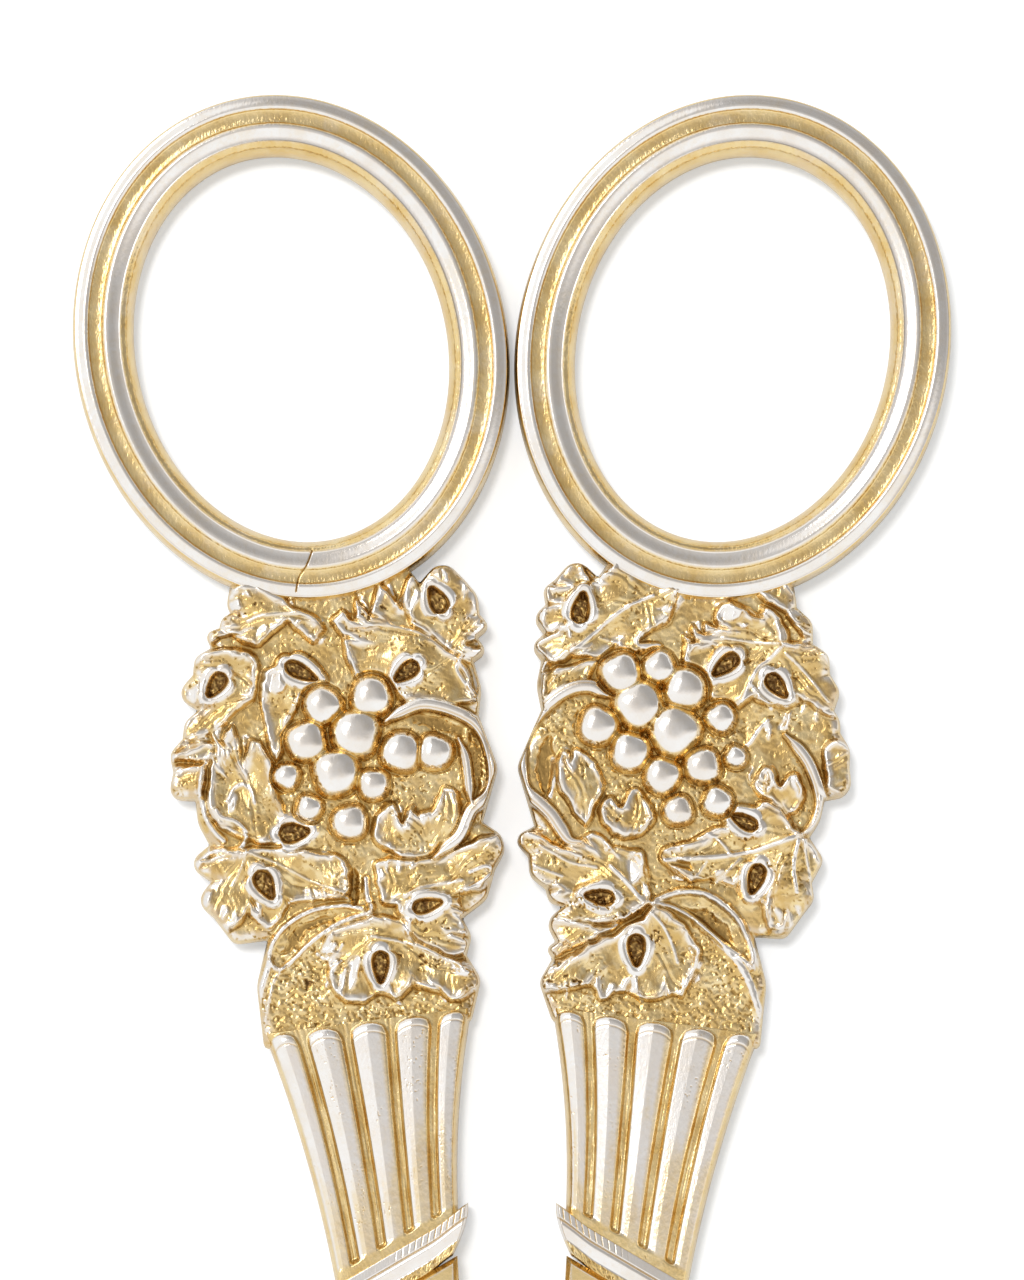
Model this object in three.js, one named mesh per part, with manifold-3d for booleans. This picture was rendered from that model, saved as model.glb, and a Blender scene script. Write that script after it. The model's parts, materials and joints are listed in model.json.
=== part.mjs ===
// Grape shears in silver-gilt: two cast levers with finger bows, vine panels and fluted grips,
// half-lapped on one pivot screw, with steel blades that cut a stem and hold it.
// Millimetres, +Z up, +Y towards the finger bows. The shears lie flat and closed, with the
// origin on the pivot axis in the plane that they rest on.

import * as THREE from 'three';
import { mergeVertices } from 'three/addons/utils/BufferGeometryUtils.js';
import Module from 'manifold-3d';

const wasm = await Module();
wasm.setup();

// Levers and clearances
const halfLap = 2.9; // thickness of one half of the pivot's lap joint
const lapGap = 0.1; // running gap between the two halves
const solderGap = 0.25; // film left between two soldered pieces
const levelGap = 0.1; // seat of a blade or a screw head on a flat face
const bowsGap = 0.3; // between the closed bows, which stop the levers
const cutOverrun = 1; // how far a cutting tool passes the face that it cuts

// Finger bow: a moulded wire on an oval that leans outwards. Its lowest point lies at a share of
// the panel's height.
const bow = {
  longRadius: 16.2,
  shortRadius: 13.3,
  leanDegrees: 13.2,
  seatShare: 0.91,
  width: 4.36,
  thickness: 4.8,
  outerWall: 0.58,
  innerWall: 0.75,
  grooveWidth: 1,
  beadHeight: 0.7,
  grooveDepth: 0.15,
  steps: 40,
};

// Vine panel: outlines are shares of its reach from the centre line and of its height
const panel = {
  baseY: 52.5,
  height: 33.57,
  reach: 24.64,
  groundThickness: 3.5,
  leafEdgeThickness: 4.3,
  leafCrownThickness: 4.9,
  wallDraft: 0.35,
  roundSwell: 0.3,
  grapeRadius: 1.43,
  grapeThickness: 5.86,
  grapeDomeShares: [[0.18, 0.62], [0.72, 1]],
  tendrilWidth: 0.75,
  tendrilThickness: 5,
  eyeLength: 2,
  eyeWidth: 1.05,
  eyeDepth: 0.9,
};

// Fluted grip: its top seats on the panel and its foot on the ribbon collar
const grip = {
  topOuterShares: [0.714, -0.009],
  topInnerShares: [0.116, 0.048],
  footOuter: new THREE.Vector2(12.5, 34.5),
  footInner: new THREE.Vector2(3.8, 39.6),
  outerHollow: 0.45,
  innerHollow: 0.42,
  topThickness: 5.3,
  footThickness: 4.7,
  edgeThickness: 3.4,
  wallDraft: 0.4,
  reedDepth: 0.5,
  reedCrown: 1.25,
  crownShares: [0, 0.15, 0.5, 1, 2],
  reeds: 5,
  reedSteps: 4,
  wrapDegrees: 56,
};

// Ribbon collar
const collar = {
  width: 2.1,
  ridgeThickness: 5.5,
  edgeThickness: 3.9,
  overhang: 0.95,
  cutBack: 1.6,
  sideStep: 0.1,
  endRound: 0.5,
  endShare: 0.72,
};

// Arm: a stem, the pivot boss and the case of the blade
const stem = {
  thickness: 5,
  edgeRound: 0.45,
  waistY: 19,
  waistOuter: 8,
  waistInner: 2.7,
  throatY: 11.5,
  throatInner: 0.55,
  shoulderShare: 0.7,
  footShare: 0.95,
};
const tang = { width: 3, thickness: 2.2, reach: 6, root: 2, clearance: 0.15 };
const boss = { radius: 6.8, lapClearance: 0.4, edgeRound: 0.35 };
const blade = {
  length: 58,
  heelY: 4.5,
  heelOuter: 6.6,
  bellyY: 40,
  bellyOuter: 6.7,
  tipRadius: 1,
  tipShares: [0.55, 0.3],
  tipGap: 0.2,
  flangeWidth: 2.1,
  coverEdge: 0.75,
  steelThickness: 1.2,
  steelOverlap: 0.8,
  heelGap: 0.3,
  bevelWidth: 0.5,
};
const rivet = {
  radius: 0.65,
  clearance: 0.12,
  headRadius: 1.05,
  headHeight: 0.25,
  crownShares: [0.7, 0.8],
  flushGap: 0.05,
  sides: 12,
  placeShares: [0.17, 0.35, 0.53],
};
const screw = {
  radius: 1.7,
  clearance: 0.1,
  headRadius: 3.5,
  rimHeight: 0.35,
  headHeight: 1,
  domeShares: [1, 0.85, 0.6, 0.3, 0],
  slotWidth: 0.8,
  slotDepth: 0.5,
  floor: 0.7,
};

const lever = { thickness: 2 * halfLap + lapGap };
lever.mid = lever.thickness / 2;
grip.topOuter = onPanel(grip.topOuterShares);
grip.topInner = onPanel(grip.topInnerShares);

const finish = {
  silverGilt: { color: 0xe3c98a, roughness: 0.32, metalness: 1 },
  gilt: { color: 0xd9b25e, roughness: 0.35, metalness: 1 },
  polished: { color: 0xdcd8d0, roughness: 0.22, metalness: 1 },
  steel: { color: 0xb9bcc0, roughness: 0.3, metalness: 1 },
};

// A margin is a list of corners: place across, place up and the swell of the stretch to the next
// corner, as a share of its length. The outer margin climbs from the joint with the grip to the
// bow, and the inner margin comes down again from the bow.
const leftVine = {
  outerFootSwellShare: 0.1,
  outerShares: [
    [0.707, 0.191, 0.29], [0.861, 0.238, 0.36], [0.87, 0.315, 0.49],
    [0.875, 0.394, 0.1], [0.916, 0.487, 0.45], [0.98, 0.547, 0.25], [0.954, 0.619, 0.2],
    [0.91, 0.679, 0.43], [0.925, 0.755, 0.26], [0.872, 0.813, 0.42], [0.849, 0.855, 0.2],
    [0.817, 0.887, 0.3], [0.812, 0.918, 0],
  ],
  innerShares: [
    [0.302, 0.965, 0], [0.268, 0.952, 0.4], [0.133, 0.955, 0.16], [0.093, 0.885, 0.4],
    [0.099, 0.834, 0.39], [0.11, 0.783, 0.1], [0.096, 0.67, 0.165], [0.084, 0.443, 0.34], [0.049, 0.34, 0.17],
    [0.142, 0.238, 0.2], [0.13, 0.16, 0.25],
  ],
  // Leaves: heart across and up, reach, heading in turns and level
  leafShares: [
    [0.745, 0.64, 0.24, 0.2, 0.6],
    [0.62, 0.87, 0.2, 0.45, 0],
    [0.2, 0.82, 0.24, 0.05, 0.3],
    [0.768, 0.383, 0.24, 0.47, 0],
    [0.31, 0.2, 0.23, 0.75, 0.5],
    [0.25, 0.383, 0.18, 0.1, 0],
  ],
  // Grapes: place across, place up and radius
  grapeShares: [
    [0.549, 0.692, 0.8], [0.409, 0.71, 0.85], [0.596, 0.615, 0.85], [0.453, 0.632, 1],
    [0.651, 0.54, 0.57], [0.51, 0.548, 0.95], [0.322, 0.593, 0.85], [0.223, 0.593, 0.75],
    [0.401, 0.523, 0.68], [0.587, 0.473, 0.57], [0.47, 0.443, 0.75],
  ],
  tendrilShares: [
    [
      [0.368, 0.655], [0.267, 0.694], [0.151, 0.674], [0.07, 0.617],
      [0.055, 0.543], [0.099, 0.481], [0.145, 0.415], [0.223, 0.368],
    ],
    [[0.861, 0.468], [0.788, 0.432], [0.771, 0.4], [0.835, 0.383]],
    [
      [0.42, 0.323], [0.412, 0.266], [0.513, 0.223], [0.614, 0.16],
      [0.687, 0.136], [0.696, 0.181], [0.638, 0.232], [0.53, 0.266],
    ],
  ],
  // Eyes of the leaves: place across, place up and heading in turns
  eyeShares: [
    [0.623, 0.762, 0.45], [0.858, 0.734, 0.35], [0.214, 0.915, 0.32], [0.307, 0.764, 0.4],
    [0.629, 0.421, 0.45], [0.716, 0.309, 0.7], [0.243, 0.266, 0.46], [0.38, 0.134, 0.75],
  ],
};

const rightVine = {
  outerFootSwellShare: 0.1,
  outerShares: [
    [0.701, 0.198, 0.28], [0.843, 0.247, 0.22], [0.867, 0.313, 0.3],
    [0.861, 0.409, 0.09], [0.904, 0.487, 0.35], [0.977, 0.557, 0.15], [0.951, 0.632, 0.13],
    [0.933, 0.679, 0.24], [0.922, 0.755, 0.24], [0.872, 0.821, 0.22], [0.826, 0.898, 0.16],
    [0.808, 0.928, 0],
  ],
  innerShares: [
    [0.285, 0.985, 0], [0.249, 0.965, 0.39], [0.125, 0.96, 0.3], [0.096, 0.906, 0.32],
    [0.09, 0.843, 0.34], [0.084, 0.785, 0.1], [0.084, 0.681, 0.18], [0.064, 0.434, 0.49], [0.046, 0.368, 0.22],
    [0.096, 0.3, 0.27], [0.145, 0.262, 0.32], [0.125, 0.189, 0.38], [0.116, 0.153, 0.3],
  ],
  leafShares: [
    [0.171, 0.84, 0.2, 0.1, 0.5],
    [0.7, 0.85, 0.24, 0.5, 0],
    [0.8, 0.7, 0.22, 0.86, 0.5],
    [0.8, 0.421, 0.25, 0.56, 0],
    [0.394, 0.36, 0.23, 0.46, 0],
    [0.36, 0.16, 0.22, 0.72, 0.5],
  ],
  grapeShares: [
    [0.314, 0.761, 0.85], [0.426, 0.774, 0.7], [0.502, 0.726, 0.88], [0.367, 0.693, 1],
    [0.249, 0.647, 0.82], [0.472, 0.637, 1.05], [0.604, 0.665, 0.65], [0.342, 0.593, 0.82],
    [0.435, 0.542, 0.78], [0.553, 0.562, 0.78], [0.648, 0.582, 0.47], [0.482, 0.468, 0.65],
    [0.594, 0.487, 0.65],
  ],
  tendrilShares: [
    [
      [0.299, 0.709], [0.226, 0.723], [0.139, 0.702], [0.055, 0.628],
      [0.04, 0.553], [0.055, 0.489], [0.125, 0.434], [0.183, 0.4],
    ],
    [[0.791, 0.628], [0.858, 0.57], [0.885, 0.5], [0.87, 0.447], [0.835, 0.421]],
    [[0.4, 0.27], [0.516, 0.291], [0.617, 0.266], [0.674, 0.202], [0.69, 0.149]],
    [[0.4, 0.25], [0.516, 0.225], [0.617, 0.161], [0.68, 0.102], [0.7, 0.05]],
  ],
  eyeShares: [
    [0.197, 0.887, 0.25], [0.617, 0.779, 0.08], [0.765, 0.734, 0.37], [0.67, 0.443, 0.93],
    [0.252, 0.285, 0.99], [0.704, 0.326, 0.17], [0.359, 0.172, 0.25],
  ],
};

// Vine leaf: lobes fan out from the heart, and teeth notch their margin
const vineLeaf = {
  lobeShares: [0.64, 0.9, 1, 0.9, 0.64],
  lobeSpreadDegrees: 58,
  sinusShare: 0.5,
  toothShare: 0.06,
  stemNotchShare: 0.3,
  shoulderShare: 0.55,
  shoulderRiseShare: 0.8,
  veinSinkShare: 0.35,
  steps: 20,
};

// Merges a closed geometry's shared points, without the slivers at its poles and seams. Round
// shapes are welded where they are made, before they are turned or moved.
function welded(geometry) {
  const weldDistance = halfLap / 1e5;
  const bare = new THREE.BufferGeometry();
  bare.setAttribute('position', geometry.getAttribute('position').clone());
  if (geometry.index) bare.setIndex(geometry.index.clone());
  const merged = mergeVertices(bare, weldDistance);
  const corners = merged.index.array;
  const kept = [];
  for (let i = 0; i < corners.length; i += 3) {
    const [a, b, c] = [corners[i], corners[i + 1], corners[i + 2]];
    if (a !== b && b !== c && c !== a) kept.push(a, b, c);
  }
  merged.setIndex(kept);
  return merged;
}

function turned(profile, sides) {
  return welded(new THREE.LatheGeometry(profile, sides)).rotateX(Math.PI / 2);
}

function solidOf(geometry) {
  const mesh = welded(geometry);
  return new wasm.Manifold(new wasm.Mesh({
    numProp: 3,
    vertProperties: new Float32Array(mesh.getAttribute('position').array),
    triVerts: new Uint32Array(mesh.index.array),
  }));
}

function geometryOf(solid) {
  const mesh = solid.getMesh();
  const geometry = new THREE.BufferGeometry();
  geometry.setAttribute('position', new THREE.BufferAttribute(new Float32Array(mesh.vertProperties), 3));
  geometry.setIndex(new THREE.BufferAttribute(new Uint32Array(mesh.triVerts), 1));
  geometry.computeVertexNormals();
  return geometry;
}

// A flat outline extruded up and down from the middle of the lever's thickness.
function plate(outline, thickness, edgeRound = 0) {
  const shape = new THREE.Shape(outline);
  const geometry = new THREE.ExtrudeGeometry(shape, {
    depth: thickness - 2 * edgeRound,
    bevelEnabled: edgeRound > 0,
    bevelThickness: edgeRound,
    bevelSize: edgeRound,
    bevelOffset: -edgeRound,
    bevelSegments: 1,
    curveSegments: 24,
  });
  return geometry.translate(0, 0, lever.mid - thickness / 2 + edgeRound);
}

// A slab between two heights, as the tool that cuts or keeps a layer of a piece.
function slab(outline, lowZ, highZ) {
  const geometry = new THREE.ExtrudeGeometry(new THREE.Shape(outline), {
    depth: highZ - lowZ,
    bevelEnabled: false,
  });
  return geometry.translate(0, 0, lowZ);
}

function disc(radius, lowZ, highZ, sides = 40) {
  const geometry = welded(new THREE.CylinderGeometry(radius, radius, highZ - lowZ, sides));
  return geometry.rotateX(Math.PI / 2).translate(0, 0, (lowZ + highZ) / 2);
}

// Triangles that fill a flat loop, each wound in the order of the loop.
function capCorners(flat) {
  const clockwise = THREE.ShapeUtils.isClockWise(flat);
  return THREE.ShapeUtils.triangulateShape(flat.slice(), []).map(([a, b, c]) => {
    const sameWay = THREE.ShapeUtils.isClockWise([flat[a], flat[b], flat[c]]) === clockwise;
    return sameWay ? [a, b, c] : [a, c, b];
  });
}

// Joins rings of equal size into a closed skin. Each ring is a closed loop of points. The ends
// are capped by filling the flat loop given, or the last ring meets the first where there is none.
function skin(rings, flat) {
  const places = rings.flat().flatMap((point) => [point.x, point.y, point.z]);
  const corners = [];
  const size = rings[0].length;
  const last = flat ? rings.length - 1 : rings.length;
  for (let i = 0; i < last; i += 1) {
    const here = i * size;
    const next = ((i + 1) % rings.length) * size;
    for (let j = 0; j < size; j += 1) {
      const k = (j + 1) % size;
      corners.push(here + j, here + k, next + k);
      corners.push(here + j, next + k, next + j);
    }
  }
  if (flat) {
    const end = last * size;
    capCorners(flat).forEach(([a, b, c]) => {
      corners.push(a, c, b);
      corners.push(end + a, end + b, end + c);
    });
  }
  const geometry = new THREE.BufferGeometry();
  geometry.setAttribute('position', new THREE.Float32BufferAttribute(places, 3));
  geometry.setIndex(corners);
  return facingOut(geometry);
}

// The first ring of a run laid flat: its points along the ring's own level chord, and up.
function uprightCap(ring) {
  const start = ring[0];
  const reach = (point) => Math.hypot(point.x - start.x, point.y - start.y);
  const far = ring.reduce((best, point) => (reach(point) > reach(best) ? point : best), start);
  const along = new THREE.Vector2(far.x - start.x, far.y - start.y).normalize();
  return ring.map((point) => new THREE.Vector2(
    (point.x - start.x) * along.x + (point.y - start.y) * along.y,
    point.z,
  ));
}

// Turns every triangle over where the enclosed volume comes out negative.
function facingOut(geometry) {
  const places = geometry.getAttribute('position');
  const corners = geometry.index.array;
  const [a, b, c] = [new THREE.Vector3(), new THREE.Vector3(), new THREE.Vector3()];
  let volume = 0;
  for (let i = 0; i < corners.length; i += 3) {
    a.fromBufferAttribute(places, corners[i]);
    b.fromBufferAttribute(places, corners[i + 1]);
    c.fromBufferAttribute(places, corners[i + 2]);
    volume += a.dot(b.cross(c));
  }
  if (volume < 0) {
    for (let i = 0; i < corners.length; i += 3) {
      [corners[i + 1], corners[i + 2]] = [corners[i + 2], corners[i + 1]];
    }
  }
  return geometry;
}

// Finger bow

// Half the moulding above the mid-plane, from the outer edge inwards: wall, bead, groove, bead, wall.
function bowMoulding() {
  const half = bow.width / 2;
  const top = bow.thickness / 2;
  const foot = top - bow.beadHeight;
  const beadWidth = (bow.width - bow.outerWall - bow.innerWall - bow.grooveWidth) / 2;
  const outerBead = half - bow.outerWall - beadWidth / 2;
  const innerBead = -half + bow.innerWall + beadWidth / 2;
  const grooveMiddle = (outerBead + innerBead) / 2;
  const bead = (centre) => [0, 1, 2, 3].map((i) => {
    const turn = (i / 3) * Math.PI;
    return new THREE.Vector2(
      centre + (beadWidth / 2) * Math.cos(turn),
      foot + bow.beadHeight * Math.sin(turn),
    );
  });
  return [
    new THREE.Vector2(half, 0),
    ...bead(outerBead),
    new THREE.Vector2(grooveMiddle, foot - bow.grooveDepth),
    ...bead(innerBead),
    new THREE.Vector2(-half, 0),
  ];
}

// Centre of the oval, and the lean of its long axis away from the other bow.
function bowOval() {
  const lean = THREE.MathUtils.degToRad(bow.leanDegrees);
  const halfSpan = Math.hypot(bow.shortRadius * Math.cos(lean), bow.longRadius * Math.sin(lean));
  const halfRise = Math.hypot(bow.shortRadius * Math.sin(lean), bow.longRadius * Math.cos(lean));
  const seatY = panel.baseY + panel.height * bow.seatShare;
  return {
    lean,
    centre: new THREE.Vector2(
      bowsGap / 2 + halfSpan + bow.width / 2,
      seatY + halfRise + bow.width / 2,
    ),
  };
}

// Point at a distance outside the oval's centre line, and the outward direction there.
function onBow(turn, distance) {
  const { lean, centre } = bowOval();
  const place = new THREE.Vector2(bow.shortRadius * Math.cos(turn), bow.longRadius * Math.sin(turn));
  const out = new THREE.Vector2(bow.longRadius * Math.cos(turn), bow.shortRadius * Math.sin(turn));
  place.addScaledVector(out.normalize(), distance);
  return place.rotateAround(new THREE.Vector2(), -lean).add(centre);
}

function bowGeometry() {
  const upper = bowMoulding();
  const lower = upper.slice(1, -1).reverse().map((point) => new THREE.Vector2(point.x, -point.y));
  const section = [...upper, ...lower];
  const rings = [];
  for (let i = 0; i < bow.steps; i += 1) {
    const turn = (i / bow.steps) * 2 * Math.PI;
    rings.push(section.map((point) => {
      const place = onBow(turn, point.x);
      return new THREE.Vector3(place.x, place.y, lever.mid + point.y);
    }));
  }
  return skin(rings);
}

// Vine panel

function onPanel([across, up]) {
  return new THREE.Vector2(across * panel.reach, panel.baseY + up * panel.height);
}

// Swells each stretch between two corners outwards from the panel as a shallow arc.
function swollenMargin(corners) {
  const points = [];
  corners.forEach(({ place, swell }, i) => {
    points.push(place);
    if (swell > 0) {
      const to = corners[i + 1].place;
      const chord = to.clone().sub(place);
      const side = new THREE.Vector2(chord.y, -chord.x).multiplyScalar(2 * swell);
      const control = place.clone().add(to).multiplyScalar(0.5).add(side);
      const steps = swell > panel.roundSwell ? 3 : 2;
      points.push(...new THREE.QuadraticBezierCurve(place, control, to).getPoints(steps).slice(1, -1));
    }
  });
  return points;
}

const marginCorners = (shares) => shares.map((share) => ({ place: onPanel(share), swell: share[2] }));

// Angle on the bow's oval whose outer edge lies nearest to a point.
function turnNear(point) {
  const { lean, centre } = bowOval();
  const offset = point.clone().sub(centre).rotateAround(new THREE.Vector2(), lean);
  return Math.atan2(offset.y / bow.longRadius, offset.x / bow.shortRadius);
}

// Seat of the bow: the stretch of its outer edge between the two margins, a solder film away.
function bowSeat(from, to) {
  const seatSteps = 10;
  const start = turnNear(from);
  const end = turnNear(to);
  const points = [];
  for (let i = 0; i <= seatSteps; i += 1) {
    points.push(onBow(start + ((end - start) * i) / seatSteps, bow.width / 2 + solderGap));
  }
  return points;
}

// Outline of the panel: the joint with the grip, the outer margin, the bow's seat, the inner margin.
function panelOutline(vine) {
  const [jointInner, jointOuter] = [grip.topInner, grip.topOuter].map((point) => (
    point.clone().add(jointLift())
  ));
  const outer = swollenMargin([
    { place: jointOuter, swell: vine.outerFootSwellShare },
    ...marginCorners(vine.outerShares),
  ]);
  const inner = swollenMargin([
    ...marginCorners(vine.innerShares),
    { place: jointInner, swell: 0 },
  ]);
  const seat = bowSeat(outer[outer.length - 1], inner[0]);
  return [...outer.slice(0, -1), ...seat, ...inner.slice(1)];
}

// Step across the soldered joint between grip and panel.
function jointLift() {
  const along = grip.topOuter.clone().sub(grip.topInner).normalize();
  return new THREE.Vector2(-along.y, along.x).multiplyScalar(solderGap);
}

// The outline drawn in from its walls, so that they slope out towards the mid-plane.
function drawnIn(outline, distance) {
  const leastMitre = 0.6;
  const size = outline.length;
  return outline.map((point, i) => {
    const inwards = (from, to) => new THREE.Vector2(from.y - to.y, to.x - from.x).normalize();
    const before = inwards(outline[(i + size - 1) % size], point);
    const after = inwards(point, outline[(i + 1) % size]);
    const middle = before.clone().add(after).normalize();
    return point.clone().addScaledVector(middle, distance / Math.max(leastMitre, middle.dot(after)));
  });
}

const atHeight = (points, z) => points.map((point) => new THREE.Vector3(point.x, point.y, z));

function draftedPlate(outline, thickness, draft) {
  const inner = drawnIn(outline, draft);
  const rings = [
    atHeight(inner, lever.mid - thickness / 2),
    atHeight(outline, lever.mid),
    atHeight(inner, lever.mid + thickness / 2),
  ];
  return skin(rings, outline);
}

// The space inside the drafted walls, at any height.
function insideWalls(outline, draft) {
  const inner = drawnIn(outline, draft);
  const rings = [atHeight(inner, -cutOverrun), atHeight(inner, lever.thickness + cutOverrun)];
  return skin(rings, outline);
}

// Reach of a leaf in one direction from its heart: five lobes, teeth and the notch of the stem.
function leafReach(angle) {
  const spread = THREE.MathUtils.degToRad(vineLeaf.lobeSpreadDegrees);
  const place = angle / spread + 2;
  const last = vineLeaf.lobeShares.length - 1;
  if (place < -0.5 || place > last + 0.5) return vineLeaf.stemNotchShare;
  const lobe = THREE.MathUtils.clamp(Math.round(place), 0, last);
  const fromRib = Math.abs(place - lobe) * 2;
  return vineLeaf.lobeShares[lobe] * (1 - vineLeaf.sinusShare * fromRib ** 2);
}

// One cast leaf, the same on both faces: its lobes rise to a rounded shoulder round the heart.
function leafGeometry([across, up, reachShare, heading, level]) {
  const heart = onPanel([across, up]);
  const reach = reachShare * panel.height;
  const drop = level * (panel.leafEdgeThickness - panel.groundThickness);
  const edge = (panel.leafEdgeThickness - drop) / 2;
  const crown = (panel.leafCrownThickness - drop) / 2;
  const shoulder = edge + (crown - edge) * vineLeaf.shoulderRiseShare;
  const ring = (share, height, sink) => {
    const points = [];
    for (let i = 0; i < vineLeaf.steps; i += 1) {
      const angle = ((i + 0.5) / vineLeaf.steps - 0.5) * 2 * Math.PI;
      const tooth = 1 + (i % 2 ? 1 : -1) * vineLeaf.toothShare * share;
      const distance = reach * leafReach(angle) * tooth * share;
      const turn = angle + heading * 2 * Math.PI;
      const rib = Math.cos((angle / THREE.MathUtils.degToRad(vineLeaf.lobeSpreadDegrees)) * 2 * Math.PI);
      const lift = height - sink * (crown - edge) * (1 - rib) * 0.5;
      points.push(new THREE.Vector3(
        heart.x + distance * Math.cos(turn),
        heart.y + distance * Math.sin(turn),
        lift,
      ));
    }
    return points;
  };
  const margin = ring(1, edge, 0);
  const raised = ring(vineLeaf.shoulderShare, shoulder, vineLeaf.veinSinkShare);
  return leafSkin(margin, raised, new THREE.Vector3(heart.x, heart.y, crown));
}

// Closes a leaf from its margin, its shoulder and its heart, mirrored on the mid-plane.
function leafSkin(margin, raised, heart) {
  const size = margin.length;
  const face = [...margin, ...raised, heart];
  const places = [];
  face.forEach((point) => places.push(point.x, point.y, lever.mid + point.z));
  face.forEach((point) => places.push(point.x, point.y, lever.mid - point.z));
  const back = face.length;
  const corners = [];
  for (let j = 0; j < size; j += 1) {
    const k = (j + 1) % size;
    const upper = [
      [j, k, size + k],
      [j, size + k, size + j],
      [size + j, size + k, 2 * size],
    ];
    upper.forEach(([a, b, c]) => {
      corners.push(a, b, c);
      corners.push(back + a, back + c, back + b);
    });
    corners.push(j, back + j, back + k);
    corners.push(j, back + k, k);
  }
  const geometry = new THREE.BufferGeometry();
  geometry.setAttribute('position', new THREE.Float32BufferAttribute(places, 3));
  geometry.setIndex(corners);
  return facingOut(geometry);
}

// A grape is a bead that stands out of both faces.
function grapeGeometry([across, up, size]) {
  const radius = size * panel.grapeRadius;
  const top = panel.grapeThickness / 2;
  const profile = [new THREE.Vector2(0, -top)];
  panel.grapeDomeShares.forEach(([drop, width]) => {
    profile.push(new THREE.Vector2(radius * width, -top + radius * drop));
  });
  const upper = profile.slice().reverse().map((point) => new THREE.Vector2(point.x, -point.y));
  const place = onPanel([across, up]);
  const sides = 8;
  return turned([...profile, ...upper], sides).translate(place.x, place.y, lever.mid);
}

// A tendril is a ridge with a rounded top on both faces, swept along its run.
function tendrilGeometry(shares) {
  const places = shares.map((share) => onPanel(share));
  const run = new THREE.CatmullRomCurve3(places.map((place) => new THREE.Vector3(place.x, place.y, 0)));
  const steps = shares.length + 1;
  const half = panel.tendrilWidth / 2;
  const top = panel.tendrilThickness / 2;
  const section = [
    [half, -top + half], [half, top - half], [0, top],
    [-half, top - half], [-half, -top + half], [0, -top],
  ];
  const rings = [];
  for (let i = 0; i <= steps; i += 1) {
    const place = run.getPointAt(i / steps);
    const along = run.getTangentAt(i / steps);
    rings.push(section.map(([across, height]) => new THREE.Vector3(
      place.x - along.y * across,
      place.y + along.x * across,
      lever.mid + height,
    )));
  }
  return skin(rings, uprightCap(rings[0]));
}

// The pit of an eye on one face: four chiselled facets that meet in a point.
function eyeGeometry([across, up, heading], face) {
  const place = onPanel([across, up]);
  const geometry = welded(new THREE.OctahedronGeometry(panel.eyeLength / 2));
  geometry.scale(1, panel.eyeWidth / panel.eyeLength, (2 * panel.eyeDepth) / panel.eyeLength);
  geometry.rotateZ(heading * 2 * Math.PI);
  return geometry.translate(place.x, place.y, lever.mid + face * (panel.leafCrownThickness / 2));
}

function vinePanelGeometry(vine) {
  const outline = panelOutline(vine);
  let relief = solidOf(grapeGeometry(vine.grapeShares[0]));
  vine.grapeShares.slice(1).forEach((shares) => {
    relief = relief.add(solidOf(grapeGeometry(shares)));
  });
  vine.leafShares.forEach((shares) => {
    relief = relief.add(solidOf(leafGeometry(shares)));
  });
  vine.tendrilShares.forEach((shares) => {
    relief = relief.add(solidOf(tendrilGeometry(shares)));
  });
  let solid = solidOf(draftedPlate(outline, panel.groundThickness, panel.wallDraft));
  solid = solid.add(relief.intersect(solidOf(insideWalls(outline, panel.wallDraft))));
  vine.eyeShares.forEach((shares) => {
    solid = solid.subtract(solidOf(eyeGeometry(shares, 1)));
    solid = solid.subtract(solidOf(eyeGeometry(shares, -1)));
  });
  return geometryOf(solid);
}

// Fluted grip

// A side of the grip from top to foot, hollowed towards the middle of the grip.
function gripSide(top, foot, hollow) {
  const control = top.clone().add(foot).multiplyScalar(0.5);
  control.x += 2 * hollow;
  return new THREE.QuadraticBezierCurve(top, control, foot);
}

// Unit direction up the middle of the grip, and the middle of its foot.
function gripAxis() {
  const foot = grip.footOuter.clone().add(grip.footInner).multiplyScalar(0.5);
  const top = grip.topOuter.clone().add(grip.topInner).multiplyScalar(0.5);
  return { foot, up: top.sub(foot).normalize() };
}

// Height of the reeded face above the mid-plane, at a place across the reeds and a distance from
// the top and from the foot.
function reedHeight(place, thickness, fromTop, fromFoot) {
  const wrap = THREE.MathUtils.degToRad(grip.wrapDegrees);
  const angle = (place / grip.reeds - 0.5) * 2 * wrap;
  const roundness = (Math.cos(angle) - Math.cos(wrap)) / (1 - Math.cos(wrap));
  const edge = grip.edgeThickness / 2;
  const across = (place % 1) * 2 - 1;
  const swell = Math.sqrt(Math.max(0, 1 - across * across));
  const channel = Math.min(1, fromFoot / grip.reedCrown);
  const full = edge + (thickness / 2 - edge) * roundness - grip.reedDepth * (1 - swell) * channel;
  const ground = Math.min(full, panel.groundThickness / 2);
  const rise = THREE.MathUtils.clamp(fromTop / grip.reedCrown - (1 - swell), 0, 1);
  return ground + (full - ground) * Math.sqrt(1 - (1 - rise) ** 2);
}

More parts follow.
